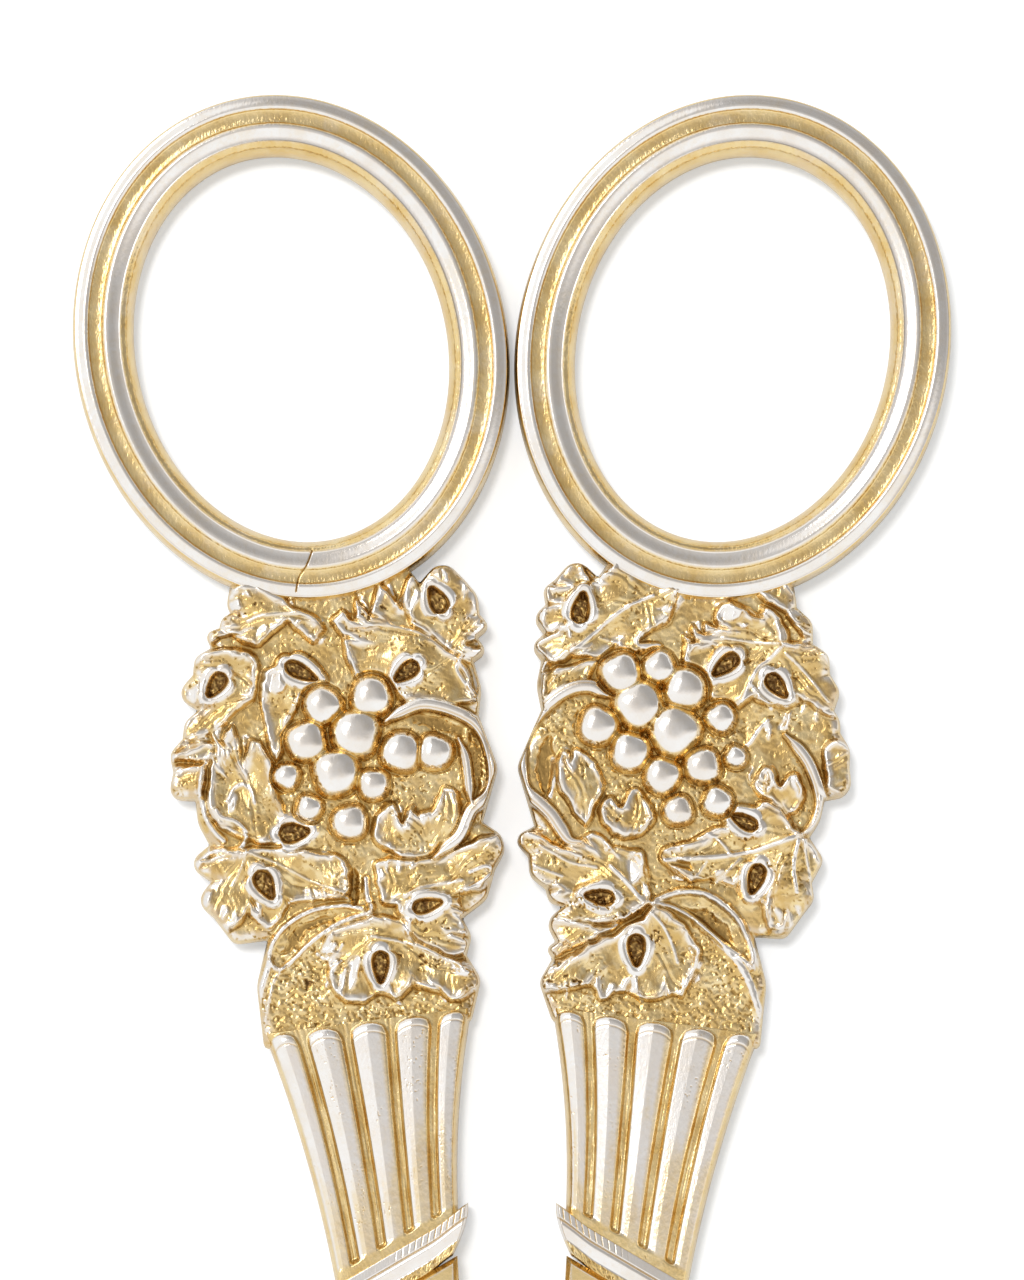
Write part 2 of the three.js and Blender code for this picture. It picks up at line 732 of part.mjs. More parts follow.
function gripGeometry() {
  const outer = gripSide(grip.topOuter, grip.footOuter, -grip.outerHollow);
  const inner = gripSide(grip.topInner, grip.footInner, grip.innerHollow);
  const length = grip.topOuter.distanceTo(grip.footOuter);
  const crown = grip.reedCrown / length;
  const stations = grip.crownShares.map((share) => share * crown);
  const plainFrom = stations[stations.length - 1];
  const plainTo = 1 - crown;
  const plainSteps = 3;
  for (let i = 1; i <= plainSteps; i += 1) {
    stations.push(THREE.MathUtils.lerp(plainFrom, plainTo, i / plainSteps));
  }
  stations.push(1);
  const wrap = THREE.MathUtils.degToRad(grip.wrapDegrees);
  const rings = stations.map((station) => {
    const from = inner.getPoint(station);
    const to = outer.getPoint(station);
    const width = from.distanceTo(to);
    const thickness = THREE.MathUtils.lerp(grip.topThickness, grip.footThickness, station);
    const wall = grip.wallDraft / width;
    const face = [];
    for (let i = 0; i <= grip.reeds * grip.reedSteps; i += 1) {
      const place = i / grip.reedSteps;
      const angle = (place / grip.reeds - 0.5) * 2 * wrap;
      const across = 0.5 + (0.5 - wall) * (Math.sin(angle) / Math.sin(wrap));
      const height = reedHeight(place, thickness, station * length, (1 - station) * length);
      face.push([across, height]);
    }
    const upper = [[0, 0], ...face, [1, 0]];
    const lower = face.slice().reverse().map(([across, height]) => [across, -height]);
    return [...upper, ...lower].map(([across, height]) => {
      const point = from.clone().lerp(to, across);
      return new THREE.Vector3(point.x, point.y, lever.mid + height);
    });
  });
  return geometryOf(solidOf(skin(rings, uprightCap(rings[0]))).subtract(tangTool()));
}

// Straight bar from the arm through the collar into the grip, grown by a clearance all round.
function tangBar(grow) {
  const { foot, up } = gripAxis();
  const depth = collar.width + 2 * solderGap;
  const length = tang.reach + depth + tang.root + grow;
  const bar = new THREE.BoxGeometry(tang.width + 2 * grow, length, tang.thickness + 2 * grow);
  bar.translate(0, length / 2 - depth - tang.root, 0);
  bar.rotateZ(Math.atan2(-up.x, up.y));
  return solidOf(bar.translate(foot.x, foot.y, lever.mid));
}

const tangTool = () => tangBar(tang.clearance);

// Ribbon collar: a strap laid round the lever along the foot of the grip, with a ridge on each
// face and its upper tip standing out past the grip's inner side.

// Directions along the foot of the grip, outwards, and square to it, towards the blades.
function footDirections() {
  const along = grip.footOuter.clone().sub(grip.footInner).normalize();
  return { along, down: new THREE.Vector2(along.y, -along.x) };
}

// Where a line at a distance below the grip's foot meets a side of the lever.
function belowFoot(corner, distance, slide) {
  const { along, down } = footDirections();
  return corner.clone().addScaledVector(down, distance).addScaledVector(along, slide);
}

function collarGeometry() {
  const near = solderGap;
  const far = solderGap + collar.width;
  const upper = [
    belowFoot(grip.footInner, near, -collar.overhang),
    belowFoot(grip.footOuter, near, collar.sideStep),
  ];
  const lower = [
    belowFoot(grip.footInner, far, collar.cutBack),
    belowFoot(grip.footOuter, far, collar.sideStep + collar.cutBack / 2),
  ];
  const length = upper[0].distanceTo(upper[1]);
  const round = collar.endRound / length;
  const end = collar.endShare;
  const stations = [[0, end], [round, 1], [1 - round, 1], [1, end]];
  const rings = stations.map(([station, share]) => {
    const high = upper[0].clone().lerp(upper[1], station);
    const low = lower[0].clone().lerp(lower[1], station);
    const middle = high.clone().lerp(low, 0.5);
    const edge = (collar.edgeThickness / 2) * share;
    const ridge = (collar.ridgeThickness / 2) * share;
    return [[high, edge], [middle, ridge], [low, edge], [low, -edge], [middle, -ridge], [high, -edge]]
      .map(([point, height]) => new THREE.Vector3(point.x, point.y, lever.mid + height));
  });
  return geometryOf(solidOf(skin(rings, uprightCap(rings[0]))).subtract(tangTool()));
}

// Arm

// Corners of the stem's top, a solder film below the collar.
function stemTop() {
  const drop = 2 * solderGap + collar.width;
  return {
    inner: belowFoot(grip.footInner, drop, collar.cutBack),
    outer: belowFoot(grip.footOuter, drop, collar.cutBack / 2),
  };
}

// Stem in plan: it narrows to a waist and runs down on to the boss.
function stemOutline() {
  const { inner, outer } = stemTop();
  const outerSide = new THREE.SplineCurve([
    outer,
    new THREE.Vector2(stem.waistOuter, stem.waistY),
    new THREE.Vector2(boss.radius, stem.throatY * stem.shoulderShare),
    new THREE.Vector2(boss.radius * stem.footShare, 0),
  ]);
  const innerSide = new THREE.SplineCurve([
    new THREE.Vector2(stem.throatInner, 0),
    new THREE.Vector2(stem.throatInner, stem.throatY),
    new THREE.Vector2(stem.waistInner, stem.waistY),
    inner,
  ]);
  return [...outerSide.getPoints(9), ...innerSide.getPoints(9)];
}

// The long edges of the blade case, from the heel at the boss to the tip. The case lies on the
// other side of the pivot's centre line from its stem.
function caseEdges() {
  const edge = (heel, belly, tip, end) => new THREE.QuadraticBezierCurve(
    new THREE.Vector2(-heel, -blade.heelY),
    new THREE.Vector2(-belly, -blade.bellyY),
    new THREE.Vector2(-tip, -end),
  );
  const shoulder = blade.length - blade.tipRadius / 2;
  const inside = blade.length - blade.tipRadius;
  const wall = blade.flangeWidth;
  return {
    outer: edge(blade.heelOuter, blade.bellyOuter, blade.tipRadius, shoulder),
    flangeInner: edge(blade.heelOuter - wall, blade.bellyOuter - wall, blade.tipGap, inside),
    coverInner: edge(blade.coverEdge, blade.coverEdge, blade.tipGap, inside),
  };
}

// Rounded end of the case, kept clear of the other case's end.
function caseTip() {
  const [across, up] = blade.tipShares;
  return [
    new THREE.Vector2(-blade.tipRadius * across, -blade.length),
    new THREE.Vector2(-blade.tipGap, -blade.length + blade.tipRadius * up),
  ];
}

function caseOutline(innerEdge) {
  const { outer } = caseEdges();
  return [...outer.getPoints(10), ...caseTip(), ...innerEdge.getPoints(10).reverse()];
}

const stemFace = () => (lever.thickness - stem.thickness) / 2;

// Height at which the steel blade's back seats on the cover of its case.
const bladeSeat = () => halfLap - blade.steelThickness;

// Middles of the rivets, between the flange and the cover's open edge.
function rivetPlaces() {
  const { flangeInner, coverInner } = caseEdges();
  return rivet.placeShares.map((share) => {
    const place = flangeInner.getPoint(share).add(coverInner.getPoint(share));
    return place.multiplyScalar(0.5);
  });
}

function rivetHoles() {
  const radius = rivet.radius + rivet.clearance;
  const tools = rivetPlaces().map((place) => (
    disc(radius, -cutOverrun, halfLap + cutOverrun, rivet.sides).translate(place.x, place.y, 0)
  ));
  return tools.map(solidOf);
}

function bossSolid() {
  const round = boss.edgeRound;
  const profile = [
    new THREE.Vector2(0, 0),
    new THREE.Vector2(boss.radius - round, 0),
    new THREE.Vector2(boss.radius, round),
    new THREE.Vector2(boss.radius, halfLap),
    new THREE.Vector2(0, halfLap),
  ];
  return solidOf(turned(profile, 40));
}

// The arm as it lies on the right, its boss in the lower half of the lap. The left arm is the
// same forging turned over; the two differ only in the screw's hole.
function armGeometry(holeTool) {
  const { flangeInner, coverInner } = caseEdges();
  const coverTop = bladeSeat() - levelGap;
  const low = stemFace();
  let solid = solidOf(plate(stemOutline(), stem.thickness, stem.edgeRound));
  solid = solid.add(solidOf(plate(caseOutline(flangeInner), stem.thickness)));
  solid = solid.add(solidOf(slab(caseOutline(coverInner), low, coverTop)));
  const lap = disc(boss.radius + boss.lapClearance, halfLap, lever.thickness + cutOverrun);
  solid = solid.subtract(solidOf(lap)).add(bossSolid()).add(tangBar(0));
  rivetHoles().forEach((tool) => {
    solid = solid.subtract(tool);
  });
  return geometryOf(solid.subtract(solidOf(holeTool)));
}

// Tapped hole of the right arm, closed by a thin floor, and clearance hole of the left arm.
function screwHole(floor) {
  const sides = 24;
  return disc(screw.radius + screw.clearance, floor, lever.thickness + cutOverrun, sides);
}

const tappedHole = () => screwHole(screw.floor);
const clearanceHole = () => screwHole(-cutOverrun);

// Steel blade: a thin plate whose cutting edge is ground back from the face that meets the
// other blade.
function bladeGeometry() {
  const { flangeInner } = caseEdges();
  const gap = solderGap;
  const outer = flangeInner.getPoints(10).slice(0, -1).map((point) => (
    new THREE.Vector2(Math.min(point.x + gap, -levelGap), point.y)
  ));
  const tipY = outer[outer.length - 1].y;
  const cuttingEdge = (back) => [
    new THREE.Vector2(levelGap, tipY),
    new THREE.Vector2(blade.steelOverlap - back, -blade.heelY),
  ];
  const face = [...outer, ...cuttingEdge(0)];
  const back = [...outer, ...cuttingEdge(blade.bevelWidth)];
  const rings = [atHeight(back, bladeSeat()), atHeight(face, halfLap)];
  let solid = solidOf(skin(rings, face));
  const clear = disc(boss.radius + blade.heelGap, -cutOverrun, halfLap + cutOverrun);
  solid = solid.subtract(solidOf(clear));
  rivetHoles().forEach((tool) => {
    solid = solid.subtract(tool);
  });
  return geometryOf(solid);
}

// Blade rivet: domed under the case and filed flush with the blade's meeting face.
function rivetGeometry() {
  const seat = stemFace() - levelGap;
  const flush = halfLap - rivet.flushGap;
  const [crownWidth, crownHeight] = rivet.crownShares;
  const profile = [
    new THREE.Vector2(0, seat - rivet.headHeight),
    new THREE.Vector2(rivet.headRadius * crownWidth, seat - rivet.headHeight * crownHeight),
    new THREE.Vector2(rivet.headRadius, seat),
    new THREE.Vector2(rivet.radius, seat),
    new THREE.Vector2(rivet.radius, flush),
    new THREE.Vector2(0, flush),
  ];
  return turned(profile, rivet.sides);
}

// Pivot screw: a shallow domed head with a slot, and a plain shank down to the floor of its hole.
function screwGeometry() {
  const seat = lever.thickness + levelGap;
  const rim = seat + screw.rimHeight;
  const top = seat + screw.headHeight;
  const dome = screw.domeShares.map((share) => new THREE.Vector2(
    screw.headRadius * share,
    rim + (top - rim) * Math.sqrt(1 - share * share),
  ));
  const profile = [
    new THREE.Vector2(0, screw.floor + levelGap),
    new THREE.Vector2(screw.radius, screw.floor + levelGap),
    new THREE.Vector2(screw.radius, seat),
    new THREE.Vector2(screw.headRadius, seat),
    ...dome,
  ];
  const slot = new THREE.BoxGeometry(2 * screw.headRadius + cutOverrun, screw.slotWidth, 2 * screw.slotDepth);
  const solid = solidOf(turned(profile, 32));
  return geometryOf(solid.subtract(solidOf(slot.translate(0, 0, top))));
}

// Assembly

function piece(name, geometry, look) {
  const mesh = new THREE.Mesh(geometry, new THREE.MeshStandardMaterial(look));
  mesh.name = name;
  return mesh;
}

// One lever with all that is fixed to it, as it lies on the right.
function leverGroup(side, vine, holeTool) {
  const group = new THREE.Group();
  group.add(piece(`${side}_bow`, bowGeometry(), finish.silverGilt));
  group.add(piece(`${side}_vine_panel`, vinePanelGeometry(vine), finish.gilt));
  group.add(piece(`${side}_fluted_grip`, gripGeometry(), finish.silverGilt));
  group.add(piece(`${side}_ribbon_collar`, collarGeometry(), finish.polished));
  group.add(piece(`${side}_arm`, armGeometry(holeTool), finish.gilt));
  group.add(piece(`${side}_cutting_blade`, bladeGeometry(), finish.steel));
  rivetPlaces().forEach((place, i) => {
    const mesh = piece(`${side}_blade_rivet_${i + 1}`, rivetGeometry(), finish.gilt);
    mesh.position.set(place.x, place.y, 0);
    group.add(mesh);
  });
  return group;
}

const shears = new THREE.Group();
const right = leverGroup('right', rightVine, tappedHole());
const left = leverGroup('left', leftVine, clearanceHole());
left.rotation.y = Math.PI;
left.position.z = lever.thickness;
shears.add(right, left, piece('pivot_screw', screwGeometry(), finish.polished));

export default shears;
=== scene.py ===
"""Grape shears in parcel-gilt silver, lying flat on a white table under soft light from the left.

Shapes are worked out in millimetres in the part's own frame and written out in metres. The cast
vine panels are drawn as relief on a fine grid: every leaf, vein, eye, grape and tendril is a named
mark in the photograph's pixels, raised or cut by its own tool. Every vertex of these meshes also
carries a finish with painted light in it: how far the gilding is worn to the silver there, leaning
to the lit side as a painted highlight on leaf lobes and reed facets, and how much patina lies on
it, with painted shade beside leaf margins and teeth on the side away from the light.
"""
import json
import math

import bpy
import numpy as np
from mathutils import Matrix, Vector

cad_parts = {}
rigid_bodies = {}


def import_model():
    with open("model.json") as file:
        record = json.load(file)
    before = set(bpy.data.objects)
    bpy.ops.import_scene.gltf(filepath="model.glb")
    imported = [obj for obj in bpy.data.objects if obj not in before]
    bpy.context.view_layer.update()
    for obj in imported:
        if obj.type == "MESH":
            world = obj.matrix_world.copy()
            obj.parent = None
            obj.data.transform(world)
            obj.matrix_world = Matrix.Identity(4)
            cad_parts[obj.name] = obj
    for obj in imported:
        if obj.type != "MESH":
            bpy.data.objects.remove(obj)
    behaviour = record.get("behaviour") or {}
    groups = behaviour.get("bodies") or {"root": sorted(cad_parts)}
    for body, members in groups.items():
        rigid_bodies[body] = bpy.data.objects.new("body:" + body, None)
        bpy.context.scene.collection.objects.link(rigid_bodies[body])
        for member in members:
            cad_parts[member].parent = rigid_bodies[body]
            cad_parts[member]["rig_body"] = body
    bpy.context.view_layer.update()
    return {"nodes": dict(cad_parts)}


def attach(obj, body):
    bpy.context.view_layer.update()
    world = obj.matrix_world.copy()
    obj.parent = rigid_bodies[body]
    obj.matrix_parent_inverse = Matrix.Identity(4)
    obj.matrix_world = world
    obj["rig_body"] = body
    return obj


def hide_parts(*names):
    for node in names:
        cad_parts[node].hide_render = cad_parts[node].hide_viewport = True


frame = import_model()

MM = 0.001
MID = 2.95  # height of the middle of both levers

# The photograph: pixels per millimetre on the upper face, and the point below its camera
PIXELS_PER_MM = 14.05
AXIS_PIXEL = (512, 1337)
AXIS_Y = 30.6
CAMERA_HEIGHT = 600
AIM_Y = 80.4
FRAME_WIDTH = 73.1

# Colours of the metals, of what is rubbed bright and of what is stained, the stain colours also
# painting shade
SILVER = (0.93, 0.915, 0.89)
SILVER_WARM = (0.87, 0.82, 0.76)
SILVER_RUBBED = (0.93, 0.92, 0.90)
GOLD = (0.80, 0.57, 0.23)
GOLD_PALE = (0.91, 0.74, 0.41)
GOLD_DEEP = (0.62, 0.40, 0.13)
PATINA_AND_SHADE = (0.11, 0.05, 0.018)
STEEL = (0.55, 0.56, 0.57)
STEEL_WARM = (0.62, 0.62, 0.61)
STEEL_RUBBED = (0.74, 0.74, 0.73)

# Finger bows: an oval centre line that leans outwards, and the moulding across it
BOW = {
    "long_radius": 16.2,
    "short_radius": 13.3,
    "lean": math.radians(13.2),
    "centre": (15.797, 101.291),
    "half_width": 2.18,
    "outer_wall": 0.28,
    "inner_wall": 0.80,
    "outer_bead": 1.0,
    "inner_bead": 1.30,
    "fillet": 0.14,
    "bead_foot": 2.06,
    "bead_top": 2.32,
    "groove_floor": 2.0,
    "steps": 720,
    "seam_turn": 4.905,
    "seam_reach": 0.075,
    "seam_steps": 60,
}

# Fluted grips: corners on the right lever, at the panel and at the collar
GRIP = {
    "top_outer": (17.6, 52.2),
    "top_inner": (2.85, 54.1),
    "foot_outer": (12.5, 34.5),
    "foot_inner": (3.8, 39.6),
    "outer_hollow": 0.45,
    "inner_hollow": 0.42,
    "valleys": (0.0, 0.172, 0.388, 0.61, 0.826, 1.0),
    "top_height": 2.62,
    "foot_height": 2.32,
    "side_height": 1.9,
    "wall": 0.62,
    "valley_half": 0.34,
    "valley_depth": 0.50,
    "bevel_drop": 0.30,
    "left_ridge": 0.08,
    "right_ridge": 0.6,
    "crown": 1.5,
    "notch": 1.5,
    "foot_land": 0.55,
    "overrun": 0.028,
    "arch": 1.86,
    "end_gap": 0.12,
    "dome": 0.75,
    "crease": (0.8, 0.06),
    "rows": 260,
    "columns": 280,
}

# Ribbon collars: a strap along the grip's foot, its upper tip past the inner side
COLLAR = {
    "gap": 0.03,
    "width": 2.7,
    "overhang": 0.95,
    "cut_back": 1.9,
    "side_step": 0.1,
    "bulge": 0.4,
    "tip_lift": 0.3,
    "profile": ((0.0, 2.30), (0.04, 2.52), (0.28, 2.62), (0.32, 2.46), (0.36, 2.62), (0.42, 2.68),
                (0.66, 2.56), (0.69, 2.48), (0.73, 2.52), (1.0, 2.52)),
    "line": 0.32,
    "land": 0.72,
    "notch_pitch": 0.55,
    "notch_half": 0.05,
    "notch_reach": 0.24,
    "wall": 0.3,
    "rows": 60,
    "columns": 420,
}

# Vine panels: heights above the middle, in millimetres, and the grid in pixels
GROUND = 1.5
GRID = 1.15
WALL = 0.3
BOW_OVERLAP = 0.95  # how far the panel runs under the bow, from this near it
BOW_NEAR = 0.32
GRIP_OVERLAP = 1.3  # how far it runs under the reeds' tops, from this near their corners
GRIP_NEAR = 0.5

# Tools of the relief: rises in millimetres, lengths in pixels, and bells as middle and reach
LEAF = {
    "crease": 0.3,
    "crease_fade": 9,
    "puff": 12,
    "rim": (4.5, 3.0),
    "rim_rise": 0.2,
    "folds": 0.75,
    "brushing": 0.032,
    "vein_groove": 1.2,
    "vein_banks": (3.2, 1.8),
    "bank_rise": 0.05,
    "groove_depth": 0.07,
    "crest": (5.0, 4.2),
    "shade": (-1.2, 1.1),
    "seam": 1.2,
}
EYE = {"ring": (-5.4, 4.3), "ring_rise": 0.32, "pit_depth": 0.5, "grain": 2.0, "lip": (-0.3, 0.8)}
GRAPE = {"top": 2.88, "foot": 1.36, "sunk": 0.1, "least": 0.72, "largest": 20, "round": 2.3}
BORDER = {"crease": 19, "crease_fade": 10, "puff": 13, "drop": 0.45, "rim": (5.5, 4.0), "seam": 1.4}
CELLS = 256  # along each side of a lattice of random numbers
TINY = 1e-9

LEFT_VINE = {
    # Grapes: place and radius
    "grapes": [
        (371, 696, 17), (322.5, 705, 16), (306.5, 741, 17), (356, 733, 20), (287, 776, 11.5),
        (336, 772, 19.5), (401, 751.5, 17), (435, 751.5, 15), (373.5, 784, 13.5),
        (309.5, 807.5, 11.5), (350, 822, 15),
    ],
    # Leaves from the lowest to the uppermost: rise, where the veins meet, margin
    "leaves": [
        (0.3, (262, 690), [(150, 700), (165, 682), (182, 660), (206, 648), (244, 648), (262, 660),
         (258, 692), (240, 712), (216, 730), (205, 738), (190, 742), (160, 762)]),
        (0.34, (245, 745), [(150, 760), (176, 752), (204, 738), (222, 746), (216, 758),
         (204, 764)]),
        (0.3, (245, 770), [(150, 775), (172, 766), (206, 764), (204, 800), (160, 800)]),
        (0.3, (258, 842), [(214, 720), (221, 742), (233, 722), (243, 757), (250, 737), (262, 743),
         (272, 756), (278, 790), (290, 818), (282, 840), (255, 846), (232, 836), (214, 822),
         (206, 800), (206, 775), (212, 754)]),
        (0.4, (270, 752), [(262, 668), (282, 660), (302, 656), (322, 667), (324, 690), (302, 700),
         (292, 722), (286, 750), (276, 766), (266, 740), (258, 700)]),
        (0.34, (320, 620), [(236, 584), (252, 582), (266, 585), (278, 592), (292, 606),
         (304, 612), (318, 618), (326, 629), (314, 644), (299, 634), (285, 624), (272, 634),
         (266, 643), (255, 648), (244, 643), (234, 635), (222, 638), (202, 652), (194, 640),
         (206, 626), (206, 612), (220, 598)]),
        (0.4, (456, 655), [(328, 622), (336, 613), (343, 608), (351, 618), (356, 592), (370, 611),
         (379, 579), (396, 600), (408, 586), (424, 612), (434, 637), (464, 658), (474, 684),
         (480, 704), (440, 704), (404, 702), (388, 692), (368, 682), (354, 682), (346, 658),
         (341, 636)]),
        (0.44, (440, 652), [(410, 574), (430, 562), (442, 556), (458, 562), (470, 576),
         (486, 584), (486, 604), (482, 618), (494, 614), (484, 632), (470, 646), (494, 640),
         (484, 658), (468, 664), (450, 651), (430, 640), (414, 628), (402, 608), (402, 588)]),
        (0.36, (428, 852), [(384, 802), (397, 799), (402, 821), (412, 803), (420, 814),
         (432, 810), (440, 790), (448, 781), (458, 789), (463, 814), (452, 838), (430, 856),
         (405, 860), (385, 852), (372, 836), (372, 822)]),
        (0.34, (247, 852), [(222, 850), (262, 845), (300, 850), (345, 852), (352, 868),
         (350, 897), (320, 898), (290, 903), (282, 922), (266, 932), (250, 914), (236, 928),
         (206, 942), (196, 912), (192, 890), (184, 880), (190, 860)]),
        (0.38, (386, 905), [(372, 862), (392, 856), (420, 856), (455, 848), (480, 836),
         (506, 830), (506, 866), (484, 888), (462, 896), (462, 908), (482, 930), (464, 938),
         (478, 952), (450, 960), (420, 948), (400, 930), (396, 908), (378, 905)]),
        (0.42, (394, 930), [(372, 914), (345, 921), (325, 935), (316, 951), (324, 959),
         (327, 986), (345, 1002), (368, 1004), (382, 992), (396, 1003), (414, 988), (440, 992),
         (456, 1004), (484, 985), (484, 966), (448, 956), (420, 940), (400, 918)]),
    ],
    # Ridges: width, rise, silver, run
    "ridges": [
        (5, 0.12, 0.7, [(248, 621), (262, 615), (300, 614), (322, 620)]),
        (4, 0.1, 0.6, [(352, 622), (400, 627), (430, 637), (455, 652)]),
        (4, 0.12, 0.9, [(346, 642), (351, 656), (358, 672), (372, 682)]),
        (4, 0.1, 0.7, [(262, 700), (266, 725), (272, 756)]),
        (5, 0.2, 1.0, [(461, 657), (457, 668), (464, 681), (474, 692), (480, 706), (483, 722)]),
        (4, 0.12, 0.8, [(205, 706), (190, 719), (182, 735)]),
        (5, 0.14, 0.9, [(206, 738), (186, 748), (170, 762)]),
        (7, 0.34, 1.0, [(212, 755), (205, 765), (201, 785), (203, 805), (208, 820), (216, 832),
         (224, 840)]),
        (6, 0.32, 1.0, [(217, 810), (222, 817), (235, 821), (243, 827), (247, 836), (243, 845),
         (235, 850), (222, 850), (210, 853), (200, 863), (195, 876)]),
        (5, 0.16, 0.9, [(228, 801), (234, 789), (243, 784), (251, 790), (255, 803)]),
        (6, 0.3, 1.0, [(372, 905), (370, 912), (350, 918), (335, 925), (320, 935), (308, 945),
         (295, 958), (283, 968), (274, 966), (270, 957), (272, 945), (280, 932), (292, 921),
         (308, 912), (325, 907), (345, 905), (362, 908)]),
        (7, 0.3, 1.0, [(366, 878), (367, 893), (372, 907)]),
        (8, 0.3, 1.0, [(270, 962), (266, 975), (261, 992), (258, 1008), (257, 1024)]),
        (4, 0.14, 0.7, [(283, 968), (275, 980), (271, 995), (268, 1010), (266, 1020)]),
        (3.5, 0.1, 0.5, [(247, 852), (275, 862), (310, 880), (345, 893)]),
        (3.5, 0.1, 0.5, [(247, 852), (241, 870), (233, 886)]),
        (3.5, 0.1, 0.6, [(300, 850), (330, 853), (345, 862)]),
        (4, 0.14, 0.9, [(290, 902), (310, 899), (330, 897), (348, 897)]),
        (4, 0.12, 0.7, [(372, 936), (400, 941), (430, 950), (462, 966)]),
        (5, 0.2, 1.0, [(466, 890), (480, 882), (493, 872), (486, 866), (470, 872)]),
        (5, 0.16, 0.8, [(405, 897), (420, 888), (440, 884), (462, 880)]),
        (5, 0.18, 1.0, [(454, 914), (466, 922), (470, 930), (462, 932)]),
        (4, 0.14, 0.9, [(317, 953), (326, 958), (338, 951), (343, 944)]),
        (4, 0.14, 0.9, [(327, 985), (331, 971), (342, 960)]),
        (5, 0.16, 1.0, [(389, 985), (394, 996), (400, 1003)]),
        (4, 0.14, 0.9, [(420, 983), (436, 990), (446, 1000)]),
    ],
    # Double-ridged tendrils: width, rise, run
    "tendrils": [
        (10, 0.62, [(385, 722), (400, 712), (420, 704), (440, 706), (460, 713), (475, 722),
         (485, 735), (491, 752), (494, 770), (493, 785), (487, 797), (478, 804), (470, 812),
         (460, 835), (445, 848), (435, 857)]),
        (7, 0.56, [(458, 738), (465, 755), (468, 775), (470, 795), (472, 805)]),
    ],
    # Polished facets of the leaves' teeth
    "facets": [
        [(342, 608), (348, 609), (352, 618)], [(356, 591), (363, 592), (372, 611)],
        [(379, 579), (386, 580), (396, 600)], [(261, 624), (268, 628), (255, 641)],
        [(297, 619), (302, 623), (289, 633)], [(280, 590), (287, 592), (295, 606), (284, 600)],
        [(311, 643), (325, 634), (324, 641)], [(403, 613), (417, 588), (421, 594), (413, 612)],
        [(260, 670), (279, 667), (288, 684), (282, 693), (266, 690)],
        [(184, 690), (202, 680), (200, 696), (190, 702)],
        [(228, 601), (238, 598), (241, 610), (226, 611)], [(239, 593), (248, 592), (250, 600)],
        [(440, 568), (447, 570), (452, 582), (446, 584)], [(460, 588), (464, 584), (466, 604)],
        [(470, 590), (476, 586), (478, 602), (474, 615)],
        [(467, 641), (483, 619), (486, 623), (474, 641)],
        [(460, 659), (484, 643), (486, 648), (470, 659)], [(213, 721), (222, 722), (221, 742)],
        [(228, 722), (236, 724), (230, 742), (225, 740)], [(240, 735), (252, 737), (245, 757)],
        [(254, 742), (263, 744), (258, 753)], [(227, 801), (234, 790), (238, 808), (230, 813)],
        [(396, 799), (405, 808), (401, 821)], [(404, 823), (412, 803), (418, 808)],
        [(432, 799), (441, 790), (443, 800), (436, 813)],
        [(445, 784), (453, 785), (456, 793), (447, 792)],
        [(302, 888), (309, 886), (313, 900), (305, 901)],
        [(319, 886), (325, 886), (327, 898), (321, 899)],
        [(204, 892), (214, 889), (210, 908), (202, 908)], [(221, 905), (230, 909), (224, 923)],
        [(233, 911), (239, 912), (237, 926)], [(244, 880), (252, 878), (255, 896), (248, 893)],
        [(253, 900), (260, 898), (263, 915), (256, 916)], [(384, 859), (391, 860), (390, 877)],
        [(394, 859), (403, 860), (399, 876)], [(377, 868), (387, 872), (382, 883)],
        [(399, 907), (411, 904), (411, 936), (402, 933)],
        [(350, 955), (362, 955), (360, 976), (351, 992)],
        [(336, 988), (346, 966), (350, 970), (344, 998)], [(455, 915), (468, 925), (459, 931)],
        [(450, 961), (470, 970), (466, 978), (452, 973)],
        [(319, 945), (341, 942), (330, 955), (321, 956)], [(330, 960), (342, 959), (329, 983)],
    ],
    # Eyes: place, length, width and the heading of the pointed end, in degrees
    "eyes": [
        (302, 672, 36, 14, 27), (216, 685, 28, 15, 125), (437, 599, 29, 17, -118),
        (406, 672, 29, 15, 142), (295, 832, 30, 18, -8), (266, 885, 31, 17, 62),
        (428, 905, 30, 13, -14), (381, 967, 32, 15, 90),
    ],
    # Hollows: depth and margin
    "hollows": [
        (0.3, [(352, 866), (358, 872), (361, 886), (357, 901), (353, 906), (349, 896),
         (348, 878)]),
        (0.22, [(345, 911), (322, 914), (303, 924), (288, 938), (278, 957), (290, 952),
         (305, 938), (322, 926), (340, 917)]),
        (0.2, [(468, 728), (482, 745), (486, 770), (482, 790), (474, 796), (472, 770),
         (466, 745)]),
        (0.15, [(410, 713), (440, 715), (466, 728), (462, 740), (440, 732), (412, 724)]),
    ],
    # Casting pits: place and reach
    "pits": [
        (252, 602, 14, 5), (246, 612, 11, 8), (385, 607, 12, 5), (368, 616, 10, 5),
        (422, 650, 5, 12), (412, 624, 8, 8), (468, 580, 9, 8), (426, 962, 20, 12),
        (436, 926, 24, 12), (400, 954, 5, 8), (400, 690, 14, 5), (268, 668, 12, 5),
        (355, 888, 6, 20), (300, 985, 30, 26),
    ],
    # Ground left open between the leaves, punched all over: place and reach
    "stipple": [
        (365, 985, 130, 60), (470, 770, 16, 44), (330, 770, 90, 90),
    ],
}

